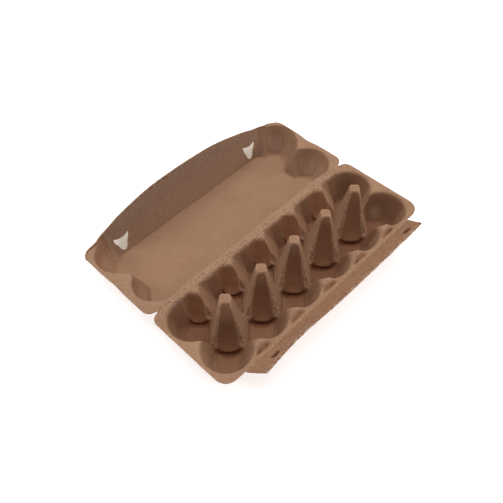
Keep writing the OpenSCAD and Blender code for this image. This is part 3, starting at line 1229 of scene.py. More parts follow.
    def press_lands(self, places: np.ndarray, normals: np.ndarray) -> np.ndarray:
        """Raises the rounded noses of the lands and marks the floors with a ring.

        Args:
            places: The sheet's points.
            normals: Their normals.

        Returns:
            The moved points.
        """
        moved = places.copy()
        x, y, z = places.T
        dx = self.post_offset(x)
        from_nose = np.hypot((dx - self.nose_x) / self.nose_half_x, (y - self.nose_y) / self.nose_half_y)
        rise = self.nose_rise * hill(from_nose, 1.0, self.nose_sharp) - self.fold.at(dx, y)
        rise += self.back_nose.at(dx, y) - self.wrinkle_sink * self.wrinkle.at(dx, y)
        moved[:, 2] += rise * smoothstep(*self.land_span, z - self.carton.rim_z)
        cell_dx, cell_dy, _ = self.cell_place(x, y)
        ring = hill(np.hypot(cell_dx, cell_dy) - self.ring_r, self.ring_half) * (z < self.ring_below)
        moved[:, 2] += self.ring_rise * ring
        return moved

    def nose(self, places: np.ndarray) -> np.ndarray:
        """How far each point lies on the rounded nose of a land at the front.

        Args:
            places: The sheet's points.

        Returns:
            1 on top of a nose and 0 away from it.
        """
        x, y, z = places.T
        return self.nose_top.at(self.post_offset(x), y) * (z > self.high_z)

    def press_crumple(self, places: np.ndarray, normals: np.ndarray) -> np.ndarray:
        """Roughens the sheet, most of all along the posts' edges and where cells squeeze it.

        Args:
            places: The sheet's points.
            normals: Their normals.

        Returns:
            The moved points.
        """
        _, y, z = places.T
        grain = self.grain
        fine = grain.fine.at(places) * (grain.fine_least + grain.fine_coarse * self.rough(places))
        swell = grain.broad.at(places) + fine + grain.knuckle.at(places) * self.nose(places)
        swell += grain.curl * self.curls(places)
        keep = smoothstep(*grain.floor_span, z - self.floor_z) * (z < self.carton.tip_z - grain.tip_plain)
        strip = smoothstep(*grain.flat_y, y) * (z > self.carton.rim_z - grain.flat_below)
        keep *= 1.0 - grain.flat * strip
        return places + normals * (swell * keep)[:, None]

    def curls(self, places: np.ndarray) -> np.ndarray:
        """The small curls that the pulp is squeezed into at the ends of each pad's foot.

        Args:
            places: The sheet's points.

        Returns:
            1 on the curls and 0 elsewhere.
        """
        x, y, z = places.T
        dx, dy, outward = self.cell_place(x, y)
        spots, ragged = np.stack([dx, dy, z], 1), self.curl_ragged.at(places)
        crest = np.zeros(len(x))
        for row, middles in ((Row.FRONT, self.front_curls), (Row.BACK, self.back_curls)):
            for middle in middles:
                off = np.linalg.norm((spots - middle) / self.curl_half, axis=1) + ragged
                crest = np.maximum(crest, hill(off, self.curl_soft) * (np.sign(y) == row.value))
        return crest * (outward <= 0.0)

    def rough(self, places: np.ndarray) -> np.ndarray:
        """How coarse the sheet is at each point.

        Args:
            places: The sheet's points.

        Returns:
            1 on the posts' edges and on the strip beside the lid's crease, 0 on smooth walls.
        """
        x, y, z = places.T
        grain, pad = self.grain, self.pad_share(places)
        edge = (np.hypot(self.post_offset(x), y) < grain.edge_r) * (1.0 - pad)
        edge *= z < self.carton.tip_z - grain.edge_top
        border = np.maximum(grain.edge * edge, grain.border * pad * (1.0 - pad))
        border *= smoothstep(*grain.border_z, z)
        strip = smoothstep(*grain.strip_y, y) * smoothstep(*grain.strip_span, z - self.carton.rim_z)
        patch = smoothstep(*grain.patch_span, grain.patch.at(places))
        strip *= grain.patch_least + grain.patch_more * patch
        return np.maximum(np.maximum(border, strip), grain.nose * self.nose(places))

    def tone(self, places: np.ndarray) -> np.ndarray:
        """How much darker or paler than the plain sheet each point is, mostly painted shade and highlights.

        Args:
            places: The sheet's points.

        Returns:
            Above 0 for darker, below 0 for paler.
        """
        x, y, z = places.T
        _, dy, _ = self.cell_place(x, y)
        shades, off, gap = self.shades, self.post_offset(x), self.gap_shade_share(places)
        foot = 1.0 - smoothstep(*shades.foot_z, z)
        floor = 1.0 - smoothstep(*shades.floor_span, z - self.floor_z)
        # The pads' pressed tone, with painted shade on the pads that look to the front and to the left,
        # less near their feet
        pad = shades.pad + (shades.front_pad_shade + shades.front_land_shade * (dy > 0.0)) * self.to_front(x, y)
        tone = pad * self.pad_share(places) * (1.0 - shades.foot_loss * foot)
        # Painted shadow in the gaps under the feet, painted shade on the cells' floors and a painted
        # highlight along the gaps' edge
        tone += shades.gap * gap + shades.floor * floor - shades.gap_rim_highlight * gap * (1.0 - gap) * floor
        # Painted highlight on the curls
        tone -= shades.curl * self.curls(places)
        from_spot = np.linalg.norm((places - shades.spot) / shades.spot_half, axis=1)
        tone -= shades.spot_pale * hill(from_spot, 1.0)
        # Painted shadow in the folds and wrinkles of the lands
        patch = smoothstep(*shades.fold_patch_span, shades.fold_patch.at(places))
        fold = shades.fold.at(off, y) * (shades.fold_least + shades.fold_more * patch)
        tone += (fold + shades.wrinkle * self.wrinkle.at(off, y)) * (z > self.high_z)
        # Painted highlight on the noses' tops
        tone -= self.nose(places) * (shades.nose - shades.nose_patch.at(places))
        return tone + shades.tip * smoothstep(*shades.tip_span, z - self.carton.tip_z)

    def dim(self, places: np.ndarray) -> np.ndarray:
        """Painted shade inside the cells, deepest on the floors and the far walls and more to the right.

        Args:
            places: The sheet's points.

        Returns:
            0 on the rim and the posts, up to 1 inside the cells and above 1 on their darkest floors.
        """
        x, y, z = places.T
        dx, dy, _ = self.cell_place(x, y)
        shades, in_back, from_rim = self.shades, y > 0.0, z - self.carton.rim_z
        inside = smoothstep(*shades.inside_span, from_rim) * (1.0 - self.rough(places))
        inside *= 1.0 - self.pad_share(places)
        rim = smoothstep(*shades.rim_span, from_rim) * (np.abs(y) > shades.rim_y)
        floor = 1.0 - smoothstep(*shades.deep_floor_span, z - self.floor_z)
        far = smoothstep(*shades.far_span, dx + dy * np.sign(y)) * (1.0 - floor)
        deep = np.where(in_back, shades.back_cell, shades.front_cell) + shades.cell_floor * floor
        deep += (shades.far_wall + shades.far_wall_right * smoothstep(*shades.far_wall_x, x)) * far
        front_floor = shades.darkest_front * smoothstep(*shades.darkest_front_x, x)
        darkest = np.where(in_back, shades.darkest_back, front_floor) * floor
        darkest += shades.darkest_wall * smoothstep(*shades.darkest_wall_x, x) * far
        return np.clip(inside * deep + shades.rim * rim, 0.0, 1.0) + inside * darkest

    def build(self, finish: bpy.types.Material) -> bpy.types.Object:
        """Builds the tray.

        Args:
            finish: The tray's material.

        Returns:
            The tray's piece.
        """
        for row in Row:
            for column in range(self.cells):
                self.lay_cell(column, row)
        self.weld()
        self.soften(1, below=self.carton.tip_z - self.sharp_top)
        self.press(self.press_lands, hold_edge=True)
        self.press(self.press_crumple, hold_edge=True)
        self.press(self.press_toes)
        self.mark_relief()
        self.mark("tone", self.tone)
        self.mark("dim", self.dim)
        self.mark("rough", self.rough)
        return self.piece("tray", finish)


@dataclass(frozen=True)
class LidShades:
    """Painted shade and light on the lid: how much darker or paler its places are than its plain sheet."""

    # Painted shade on the basin's walls, less on the right and more higher up
    wall: float = 0.25
    wall_right_light: float = -0.4
    right_x: Span = (-75.0, 75.0)
    wall_low: Span = (0.0, 5.0)
    wall_top: Span = (-5.0, 0.0)
    upper: float = 0.3
    upper_z: Span = (16.0, 28.0)
    # Painted light on the front wall
    front_light: float = 0.65
    front_y: Span = (104.0, 108.0)
    front_low: Span = (1.0, 4.0)
    front_half: float = 118.0
    # Painted highlight on the tongues, more on the right, and a painted shadow line round them
    tongue_highlight: float = 0.15
    tongue_right_highlight: float = 0.2
    tongue_rim_shadow: float = 4.5
    tongue_z: Span = (21.0, 26.0)


@dataclass
class Lid(MouldedSheet):
    """The lid: a basin with pockets at its ends, a rim and a curved front lip with two windows."""

    body: Body = Body.LID
    slot: Slot = Slot.LID
    # Basin and rim, from the crease
    start: float = 1.7
    front_rim: float = 112.7
    lean: float = 5.6
    back_rim: float = 5.4
    back_run: float = 7.6
    end_rim: float = 128.0
    end_run: float = 12.0
    corner_r: float = 7.0
    # End pockets, each by its place, foot radius and mouth radius, and the corners beside them
    pocket_x: float = 120.5
    left_inset: float = 2.5
    pockets: tuple[tuple[float, float, float], ...] = ((30.35, 12.5, 24.5), (84.0, 14.0, 27.0))
    pocket_lean: float = 4.5
    pocket_round: float = 7.0
    corner: tuple[float, float, float, float] = (127.0, 90.6, 4.0, 21.4)
    corner_round: float = 6.0
    bowl: float = 0.68
    # Tongue-shaped pads in the pockets, by height
    tongue_z: tuple[float, ...] = (3.4, 5.0, 7.0, 10.0, 16.0, 22.0, 26.0, 30.0)
    tongue_half: tuple[float, ...] = (0.0, 5.0, 7.2, 8.8, 10.0, 10.6, 10.6, 10.0)
    tongue_sink: tuple[float, ...] = (-0.3, -1.0, -1.3, -1.2, -0.8, -0.3, 0.0, 0.0)
    tongue_inset: float = 0.3
    tongue_soft: Span = (-0.7, 0.7)
    tongue_start: float = 4.0
    tongue_past: float = 2.0
    # Outer edge and its unevenness
    outer_back_r: float = 10.0
    outer_front_r: float = 14.0
    outer_left_r: float = 11.0
    waist_y: float = 57.0
    waist_half: float = 11.0
    waist_x: Span = (140.0, 150.0)
    waist_right: float = 2.0
    waist_left: float = 0.8
    broad: Unevenness = Unevenness(30.0, 1.3, 0.35)
    fine: Unevenness = Unevenness(5.0, 4.1, 0.12)
    plain_floor: Span = (0.0, 3.0)
    # Curved front lip
    lip_h: float = 26.0
    lip_end_h: float = 6.0
    lip_swell: float = 2.2
    lip_swell_x: float = -50.0
    lip_swell_half: float = 38.0
    lip_sag: float = 4.6
    lip_sag_x: Span = (35.0, 112.0)
    lip_end_loss: float = 0.6
    lip_end_x: Span = (96.0, 138.0)
    lip_corner: Span = (-11.0, -0.2)
    rim_rough: float = 0.15
    rim_span: Span = (-1.0, 0.0)
    lip_rough: float = 0.6
    lip_edge: Span = (-3.0, -0.5)
    # Lock windows, by depth below the rim
    lock_x: float = 101.0
    window_depths: tuple[float, ...] = (9.0, 12.0, 17.0, 22.0, 27.5, 31.0, 33.0)
    window_halves: tuple[float, ...] = (10.0, 10.0, 8.8, 6.6, 4.8, 3.6, 0.8)
    window_dip: float = 3.4
    window_wobble: Unevenness = Unevenness(5.0, 2.0, 0.7)
    window_side_points: int = 14
    window_brow_points: int = 11
    cutter_half: float = 14.0
    shades: LidShades = LidShades()
    # Grid of the sheet
    rays: int = 560
    ray_samples: int = 4001
    ray_start: float = 0.3
    ray_far: float = 220.0
    ray_halvings: int = 40
    panel_rings: tuple[float, ...] = (0.0, 0.12, 0.25, 0.4, 0.55, 0.68, 0.79, 0.87, 0.93, 0.965, 0.985)
    wall_rings: int = 25
    rim_rings: int = 7
    lip_rings: int = 13

    def __post_init__(self) -> None:
        """Works out the lip's arc."""
        self.depth = self.carton.rim_z - self.floor_z
        foot = self.carton.half_length - self.outer_front_r
        drop = self.lip_h - self.lip_end_h
        self.lip_r = (foot**2 + drop**2) / (2 * drop)
        self.centre = np.array([0.0, (self.front_rim + self.start) / 2])

    @staticmethod
    def box_distance(
        points: np.ndarray, half_x: float, low_y: float, high_y: float, radii: np.ndarray | float
    ) -> np.ndarray:
        """Signed distance to a rounded outline.

        Args:
            points: Places, the last axis x and y.
            half_x: Half its length.
            low_y: Its low edge.
            high_y: Its high edge.
            radii: Corner radius, or one for each point.

        Returns:
            The distance, negative inside.
        """
        middle, half_y = (low_y + high_y) / 2, (high_y - low_y) / 2
        over_x = np.abs(points[..., 0]) - half_x + radii
        over_y = np.abs(points[..., 1] - middle) - half_y + radii
        outside = np.hypot(np.maximum(over_x, 0), np.maximum(over_y, 0))
        return outside + np.minimum(np.maximum(over_x, over_y), 0) - radii

    def from_pocket(self, x: np.ndarray) -> np.ndarray:
        """Distance outwards along the lid from the middle of the nearest end's pockets."""
        return np.abs(x) - self.pocket_x + np.where(x < 0.0, self.left_inset, 0.0)

    def basin_distance(self, points: np.ndarray, climb: float) -> np.ndarray:
        """Signed distance to the basin's outline at one level.

        Args:
            points: Places, the last axis x and y.
            climb: The level, from 0 at the panel to 1 at the rim.

        Returns:
            The distance, negative inside.
        """
        below, swell = 1.0 - climb, climb**self.bowl
        front = self.front_rim - self.depth * math.tan(math.radians(self.lean)) * below
        back = self.back_rim + self.back_run * below
        found = self.box_distance(points, self.end_rim - self.end_run * below, back, front, self.corner_r)
        out = self.from_pocket(points[..., 0])
        for y, foot, mouth in self.pockets:
            inwards = self.pocket_lean * (1.0 - swell)
            pocket = np.hypot(out + inwards, points[..., 1] - y) - foot - (mouth - foot) * swell
            found = soft_min(found, pocket, self.pocket_round)
        x, y, foot, mouth = self.corner
        corner = np.hypot(out + self.pocket_x - x, points[..., 1] - y) - foot - (mouth - foot) * swell
        return soft_min(found, corner, self.corner_round)

    def outer_distance(self, points: np.ndarray) -> np.ndarray:
        """Signed distance to the rim's outer edge."""
        front_r = np.where(points[..., 0] < 0.0, self.outer_left_r, self.outer_front_r)
        radii = np.where(points[..., 1] < self.centre[1], self.outer_back_r, front_r)
        return self.box_distance(points, self.carton.half_length, self.start, self.front_rim, radii)

    def reach(self, directions: np.ndarray, distance: Callable[[np.ndarray], np.ndarray]) -> np.ndarray:
        """Distance from the middle to an outline along each ray, found by halving a span.

        Args:
            directions: Unit directions of the rays.
            distance: Signed distance to the outline.

        Returns:
            The reach of each ray.
        """
        low, high = np.zeros(len(directions)), np.full(len(directions), self.ray_far)
        for _ in range(self.ray_halvings):
            middle = (low + high) / 2
            inside = distance(self.centre + directions * middle[:, None]) < 0
            low, high = np.where(inside, middle, low), np.where(inside, high, middle)
        return (low + high) / 2

    def ray_directions(self) -> np.ndarray:
        """Directions whose rays meet the rim's outer edge at even steps.

        Returns:
            Unit directions all round, the last one on the first.
        """
        turn = np.linspace(0, 2 * math.pi, self.ray_samples) + self.ray_start
        fine = np.stack([np.cos(turn), np.sin(turn)], 1)
        rim = self.centre + fine * self.reach(fine, self.outer_distance)[:, None]
        run = np.concatenate([[0], np.cumsum(np.linalg.norm(np.diff(rim, axis=0), axis=1))])
        turns = np.interp(np.linspace(0, run[-1], self.rays + 1), run, turn)
        turns[-1] = turns[0]
        return np.stack([np.cos(turns), np.sin(turns)], 1)

    def lip_arc(self, x: np.ndarray) -> np.ndarray:
        """Height of the lip's even arc along the wall, before it warps."""
        return self.lip_h - self.lip_r + np.sqrt(np.maximum(self.lip_r**2 - x**2, 0.0))

    def lip_height(self, edge: np.ndarray) -> np.ndarray:
        """Height of the lip along the wall at points of the rim's outer edge.

        Args:
            edge: The points.

        Returns:
            The height, higher on the left than on the right, which fades round the front corners.
        """
        x = edge[:, 0]
        swell = self.lip_swell * hill(x - self.lip_swell_x, self.lip_swell_half)
        sag = self.lip_sag * smoothstep(*self.lip_sag_x, x)
        ends = 1.0 - self.lip_end_loss * smoothstep(*self.lip_end_x, np.abs(x))
        arc = np.maximum(self.lip_arc(x) + swell - sag, 0.0) * ends
        return arc * smoothstep(*self.lip_corner, edge[:, 1] - self.front_rim)

    def lay(self) -> None:
        """Lays the panel, walls, rim and lip as one grid of rays and rings."""
        directions = self.ray_directions()
        rings: list[np.ndarray] = []

        def ring(reach: np.ndarray, z: float) -> None:
            """Adds a ring at a distance along the rays and a height."""
            flat = self.centre + directions * reach[:, None]
            rings.append(np.concatenate([flat, np.full((len(reach), 1), z)], 1))

        walls = {
            climb: self.reach(directions, lambda points: self.basin_distance(points, climb))
            for climb in np.linspace(0, 1, self.wall_rings)
        }
        foot, mouth = walls[0.0], walls[1.0]
        for share in self.panel_rings:
            ring(foot * share, self.floor_z)
        for climb, wall in walls.items():
            ring(wall, self.floor_z + self.depth * climb)
        outer = np.maximum(self.reach(directions, self.outer_distance), mouth)
        for share in np.linspace(0, 1, self.rim_rings)[1:]:
            ring(mouth + (outer - mouth) * share, self.carton.rim_z)
        edge = rings[-1]
        lip = self.lip_height(edge)
        tilt = math.radians(self.lean)
        for share in np.linspace(0, 1, self.lip_rings)[1:]:
            up = edge.copy()
            up[:, 1] += lip * share * math.sin(tilt)
            up[:, 2] += lip * share * math.cos(tilt)
            rings.append(up)
        points = np.stack(rings, 1)
        points[..., 1] += self.carton.crease_y
        self.lay_grid(points)

    def tongue(self, places: np.ndarray) -> np.ndarray:
        """The tongue-shaped pad that is pressed into each end pocket's wall.

        Args:
            places: The sheet's points.

        Returns:
            How far each point belongs to a pad.
        """
        share, out = np.zeros(len(places)), self.from_pocket(places[:, 0])
        half = np.interp(places[:, 2], self.tongue_z, self.tongue_half) - self.tongue_inset
        for y, _, mouth in self.pockets:
            off_y = places[:, 1] - self.carton.crease_y - y
            along, across = (out + off_y) * DIAGONAL, np.abs(out - off_y) * DIAGONAL
            here = (1.0 - smoothstep(*self.tongue_soft, across - half)) * (half > 0.0)
            here *= (along > self.tongue_start) & (along < mouth + self.tongue_past)
            share = np.maximum(share, here)
        return share

    def press_tongues(self, places: np.ndarray, normals: np.ndarray) -> np.ndarray:
        """Presses the tongue-shaped pads into the pockets' walls.

        Args:
            places: The sheet's points.
            normals: Their normals.

        Returns:
            The moved points.
        """
        push = self.tongue(places) * np.interp(places[:, 2], self.tongue_z, self.tongue_sink) * DIAGONAL
        moved = places.copy()
        moved[:, 0] += np.sign(places[:, 0]) * push
        moved[:, 1] += push
        return moved

    def press_rim(self, places: np.ndarray, normals: np.ndarray) -> np.ndarray:
        """Draws the end rims in between the pockets and gives the sheet a slight unevenness.

        Args:
            places: The sheet's points.
            normals: Their normals.

        Returns:
            The moved points.
        """
        moved = places.copy()
        x, y = places[:, 0], places[:, 1] - self.carton.crease_y
        waist = hill(y - self.waist_y, self.waist_half) * smoothstep(*self.waist_x, np.abs(x))
        moved[:, 0] -= np.sign(x) * waist * np.where(x > 0, self.waist_right, self.waist_left)
        uneven = self.broad.at(places) + self.fine.at(places)
        off_floor = smoothstep(*self.plain_floor, places[:, 2] - self.floor_z)
        return moved + normals * (uneven * off_floor)[:, None]

    def tone(self, places: np.ndarray) -> np.ndarray:
        """How much darker or paler than the plain sheet each point is, as painted shade and light.

        Args:
            places: The sheet's points.

        Returns:
            Above 0 for darker, below 0 for paler.
        """
        x, y, z = places.T
        shades, share = self.shades, self.tongue(places)
        below = 1.0 - smoothstep(*shades.tongue_z, z)
        wall = smoothstep(*shades.wall_low, z - self.floor_z)
        wall *= 1.0 - smoothstep(*shades.wall_top, z - self.carton.rim_z)
        front = smoothstep(*shades.front_y, y - self.carton.crease_y)
        front *= smoothstep(*shades.front_low, z - self.floor_z) * (np.abs(x) < shades.front_half)
        right = smoothstep(*shades.right_x, x)
        # Painted shade on the walls, less on the right, and painted light on the front wall
        tone = shades.wall + shades.wall_right_light * right + shades.upper * smoothstep(*shades.upper_z, z)
        tone = tone * wall * (1.0 - front) - shades.front_light * front
        # Painted highlight on the tongues and a painted shadow line along their edge
        tone -= share * below * wall * (shades.tongue_highlight + shades.tongue_right_highlight * right)
        return tone + shades.tongue_rim_shadow * share * (1.0 - share) * below

    def rough(self, places: np.ndarray) -> np.ndarray:
        """How coarse the sheet is at each point.

        Args:
            places: The sheet's points.

        Returns:
            0 on the panel and walls, more on the rim and most along the lip's edge.
        """
        up = places[:, 2] - self.carton.rim_z
        edge = smoothstep(*self.lip_edge, up - self.lip_arc(places[:, 0]))
        return smoothstep(*self.rim_span, up) * (self.rim_rough + self.lip_rough * edge)

    def window_outline(self, side: int) -> np.ndarray:
        """Outline of a lock window on the front wall, a shield that points at the panel.

        Args:
            side: -1 on the left and 1 on the right.

        Returns:
            Points by place along the wall and depth below the rim.
        """
        down = np.linspace(self.window_depths[0], self.window_depths[-1], self.window_side_points)
        half = np.interp(down, self.window_depths, self.window_halves)
        across = np.linspace(-1, 1, self.window_brow_points)[1:-1]
        brow = self.window_depths[0] + self.window_dip * (1 - across**2)
        outline = np.concatenate([
            np.stack([half, down], 1),
            np.stack([-half[::-1], down[::-1]], 1),
            np.stack([across * half[0], brow], 1),
        ])
        wobble = replace(self.window_wobble, seed=self.window_wobble.seed + side)
        outline[:, 0] += wobble.at(np.pad(outline, ((0, 0), (0, 1)))) + side * self.lock_x
        return outline

    def window_cutter(self, side: int) -> bpy.types.Object:
        """Makes the block that cuts a lock window.

        Args:
            side: -1 on the left and 1 on the right.

        Returns:
            The block.
        """
        outline = self.window_outline(side)
        bm = bmesh.new()
        ring = bmesh.ops.create_circle(bm, cap_ends=True, segments=len(outline), radius=1.0)["verts"]
        low = self.carton.crease_y + self.front_rim - self.cutter_half
        z = self.carton.rim_z - outline[:, 1] * math.cos(math.radians(self.lean))
        places = self.carton.to_metres(np.stack([outline[:, 0], np.full(len(z), low), z], 1))
        for vert, place in zip(ring, places):
            vert.co = place
        made = bmesh.ops.extrude_face_region(bm, geom=bm.faces[:])["geom"]
        grown = [item for item in made if isinstance(item, bmesh.types.BMVert)]
        bmesh.ops.translate(bm, verts=grown, vec=(0.0, 2 * self.cutter_half * MM, 0.0))
        bmesh.ops.recalc_face_normals(bm, faces=bm.faces[:])
        return link_mesh("window_cutter", bm)

    def cut_windows(self, lid: bpy.types.Object) -> None:
        """Cuts the two lock windows through the finished front wall.

        Args:
            lid: The lid's piece.
        """
        cutters = [self.window_cutter(side) for side in (-1, 1)]
        for cutter in cutters:
            cut = lid.modifiers.new("window", "BOOLEAN")
            cut.operation = "DIFFERENCE"
            cut.object = cutter
        shaped = lid.evaluated_get(bpy.context.evaluated_depsgraph_get())
        mesh = bpy.data.meshes.new_from_object(shaped)
        lid.modifiers.clear()
        lid.data = mesh
        mesh.name = lid.name
        for cutter in cutters:
            bpy.data.objects.remove(cutter)

    def build(self, finish: bpy.types.Material) -> bpy.types.Object:
        """Builds the lid.

        Args:
            finish: The lid's material.

        Returns:
            The lid's piece.
        """
        self.lay()
        self.weld()
        self.press(self.press_tongues)
        self.soften(1)
        self.press(self.press_rim)
        self.mark_relief()
        self.mark("tone", self.tone)
        self.mark("rough", self.rough)
        lid = self.piece("lid", finish)
        self.cut_windows(lid)
        return lid


@dataclass
class LockFlap(MouldedSheet):
    """The locking flap: a tilted, slightly wavy strip with two pressed-out buttons."""

    body: Body = Body.FLAP
    slot: Slot = Slot.FLAP
    # Outline and bend
    length: float = 25.0
    edge_cut: float = 0.8
    foot_half: float = 125.0
    edge_half: float = 118.0
    right_flare: float = 1.9
    flare_power: int = 8
    start: float = 1.6
    tilt: float = 38.0
    bow: float = 6.5
    bow_x: float = -66.0
    bow_half: float = 38.0
    droop: float = 3.0
    droop_x: Span = (-100.0, -124.0)
    bend_across: Span = (0.0, 0.5)
    # Pits behind the buttons
    lock_x: float = 101.0
    button_up: float = 14.0
    button_half: tuple[float, float] = (5.4, 3.5)
    button_shift: float = 4.0
    pit_depth: float = 3.0
    pit_soft: Span = (-1.2, 0.6)
    # Ragged edge, crumpling, the flap's tone, painted shade in the pits and painted highlight round them
    ragged: Unevenness = Unevenness(9.0, 5.5, 0.5)
    ragged_fine: Unevenness = Unevenness(3.0, 2.5, 0.3)
    crumple: Unevenness = Unevenness(7.0, 8.8, 0.4)
    crumple_fine: Unevenness = Unevenness(3.0, 1.8, 0.25)
    plain_foot: float = 0.25
    shade: float = 0.5
    pit_shade: float = 1.9
    pit_rim_highlight: float = 0.6
    sheet_rough: float = 0.2
    edge_rough: float = 0.8
    edge_span: Span = (-6.0, -1.0)
    # Grid of the sheet
    columns: int = 351
    rows: int = 31

    def turn_at(self, x: np.ndarray, share: np.ndarray) -> np.ndarray:
        """Tilt of the flap, bowed up on the left and drooping at its left end.

        Args:
            x: Places along the flap.
            share: Places across it, from 0 at the crease to 1 at the edge.

        Returns:
            The tilt in radians.
        """
        bowed = self.bow * hill(x - self.bow_x, self.bow_half)
        drooped = self.droop * smoothstep(*self.droop_x, x)
        return np.radians(self.tilt + (bowed - drooped) * smoothstep(*self.bend_across, share))

    def pit(self, x: np.ndarray, up: np.ndarray) -> np.ndarray:
        """How far each point lies in the pit behind a button.

        Args:
            x: Places along the flap.
            up: Distances from the crease.

        Returns:
            1 in a pit and 0 outside it.
        """
        long_half, half = self.button_half
        over = np.maximum(np.abs(np.abs(x - self.button_shift) - self.lock_x) - long_half + half, 0.0)
        return 1.0 - smoothstep(*self.pit_soft, np.hypot(over, up - self.button_up) - half)

    def from_crease(self, places: np.ndarray) -> np.ndarray:
        """Distance of each point from the crease."""
        return np.hypot(places[:, 1] - self.carton.flap_y, places[:, 2] - self.carton.flap_z)

    def tone(self, places: np.ndarray) -> np.ndarray:
        """How much darker or paler than the plain sheet each point is.

        Args:
            places: The sheet's points.

        Returns:
            Above 0 for darker, below 0 for paler.
        """
        pit = self.pit(places[:, 0], self.from_crease(places))
        # Painted shade in the pits behind the buttons, with a painted highlight round their rims
        return self.shade + self.pit_shade * pit - self.pit_rim_highlight * pit * (1.0 - pit)

    def rough(self, places: np.ndarray) -> np.ndarray:
        """How coarse the sheet is at each point, most along its edge."""
        edge = smoothstep(*self.edge_span, self.from_crease(places) - self.length)
        return self.sheet_rough + self.edge_rough * edge

    def build(self, finish: bpy.types.Material) -> bpy.types.Object:
        """Builds the flap.

        Args:
            finish: The flap's material.

        Returns:
            The flap's piece.
        """
        steps = np.linspace(-1, 1, self.columns), np.linspace(0, 1, self.rows)
        along, share = np.meshgrid(*steps, indexing="ij")
        x = along * (self.foot_half + (self.edge_half - self.foot_half) * share)
        x += np.where(along > 0, self.right_flare * along**self.flare_power * share, 0.0)
        flat = np.stack([x.ravel(), 0.0 * x.ravel(), 0.0 * x.ravel()], 1)
        ragged = (self.ragged.at(flat) + self.ragged_fine.at(flat)).reshape(x.shape)
        up = self.start + (self.length - self.edge_cut + ragged - self.start) * share
        flat[:, 1] = up.ravel()
        crumple = (self.crumple.at(flat) + self.crumple_fine.at(flat)).reshape(x.shape)
        height = self.thickness / 2 - self.pit_depth * self.pit(x, up)
        height += crumple * np.minimum(share / self.plain_foot, 1.0)
        turn = self.turn_at(x, share)
        y = self.carton.flap_y - up * np.cos(turn) + height * np.sin(turn)
        z = self.carton.flap_z + up * np.sin(turn) + height * np.cos(turn)
        self.lay_grid(np.stack([x, y, z], 2))
        self.weld()
        self.mark_relief()
        self.mark("tone", self.tone)
        self.mark("rough", self.rough)
        return self.piece("locking_flap_sheet", finish)


@dataclass
class CreaseWeb(MouldedSheet):
    """A strip of sheet that bends at a crease between the tray and another body."""

    # How far the strip reaches from the crease on the tray and on the lid
    TRAY_REACH: ClassVar[float] = 0.8
    LID_REACH: ClassVar[float] = 1.7

    name: str = "crease_web"
    half_length: float = 140.0
    near: tuple[float, float] = (0.0, 0.0)
    far: tuple[float, float] = (1.0, 0.0)
    far_slope: float = 0.0
    coarse: float = 0.6
    columns: int = 241
    rows: int = 9

    @classmethod
    def of_lid(cls, carton: CartonFrame) -> "CreaseWeb":
        """The strip between the tray and the lid.

        Args:
            carton: The carton's frame.

        Returns:
            The strip.
        """
        near = (carton.crease_y - cls.TRAY_REACH, carton.rim_z)
        far = (carton.crease_y + cls.LID_REACH, carton.rim_z)
        return cls(carton, body=Body.LID, name="lid_crease_web", near=near, far=far)

    @classmethod
    def of_flap(cls, carton: CartonFrame, flap: LockFlap) -> "CreaseWeb":
        """The strip between the tray and the locking flap.

        Args:
            carton: The carton's frame.
            flap: The flap that it leads to.

        Returns:
            The strip.
        """
        turn, half = math.radians(flap.tilt), flap.thickness / 2
        y = carton.flap_y - flap.start * math.cos(turn) + half * math.sin(turn)
        z = carton.flap_z + flap.start * math.sin(turn) + half * math.cos(turn)
        return cls(
            carton, body=Body.FLAP, name="flap_crease_web", half_length=flap.foot_half,
            near=(carton.flap_y + cls.TRAY_REACH, carton.rim_z), far=(y, z), far_slope=math.tan(turn),
        )

    def build(self, finish: bpy.types.Material) -> bpy.types.Object:
        """Builds the strip, which leaves the tray level and meets the other body at its slope.

        Args:
            finish: Its material.

        Returns:
            The strip's piece.
        """
        steps = np.linspace(-1, 1, self.columns), np.linspace(0, 1, self.rows)
        along, across = np.meshgrid(*steps, indexing="ij")
        span = self.far[0] - self.near[0]
        rise = 3 * across**2 - 2 * across**3
        lean = across**3 - across**2
        z = (1 - rise) * self.near[1] + rise * self.far[1] + lean * self.far_slope * abs(span)
        x = along * self.half_length
        self.lay_grid(np.stack([x, self.near[0] + span * across, z], 2))
        self.weld()
        self.mark_relief()
        self.mark("rough", lambda places: np.full(len(places), self.coarse))
        return self.piece(self.name, finish)

    def dress(self, piece: bpy.types.Object, nodes: list[str]) -> None:
        """Bakes a built piece's place into its shape, in place of CAD nodes.

        Args:
            piece: The piece.
            nodes: The CAD nodes that it stands for.
        """
        start, end = (
            self.carton.to_metres(np.array([0.0, y, self.carton.rim_z])).tolist()
            for y in (self.near[0], self.far[0])
        )
        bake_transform(piece)
        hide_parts(*nodes)


@dataclass(frozen=True)
class SoftLight:
    """A soft square light that looks at the carton: its place, its side and its power."""

    name: str
    place: tuple[float, float, float]
    side: float
    watts: float

    def hang(self) -> None:
        """Hangs the light in the scene."""
        light = bpy.data.lights.new(self.name, "AREA")
        light.size = self.side
        light.energy = self.watts
        made = bpy.data.objects.new(self.name, light)
        made.location = self.place
        made.rotation_euler = (-Vector(self.place)).to_track_quat("-Z", "Y").to_euler()
        bpy.context.scene.collection.objects.link(made)


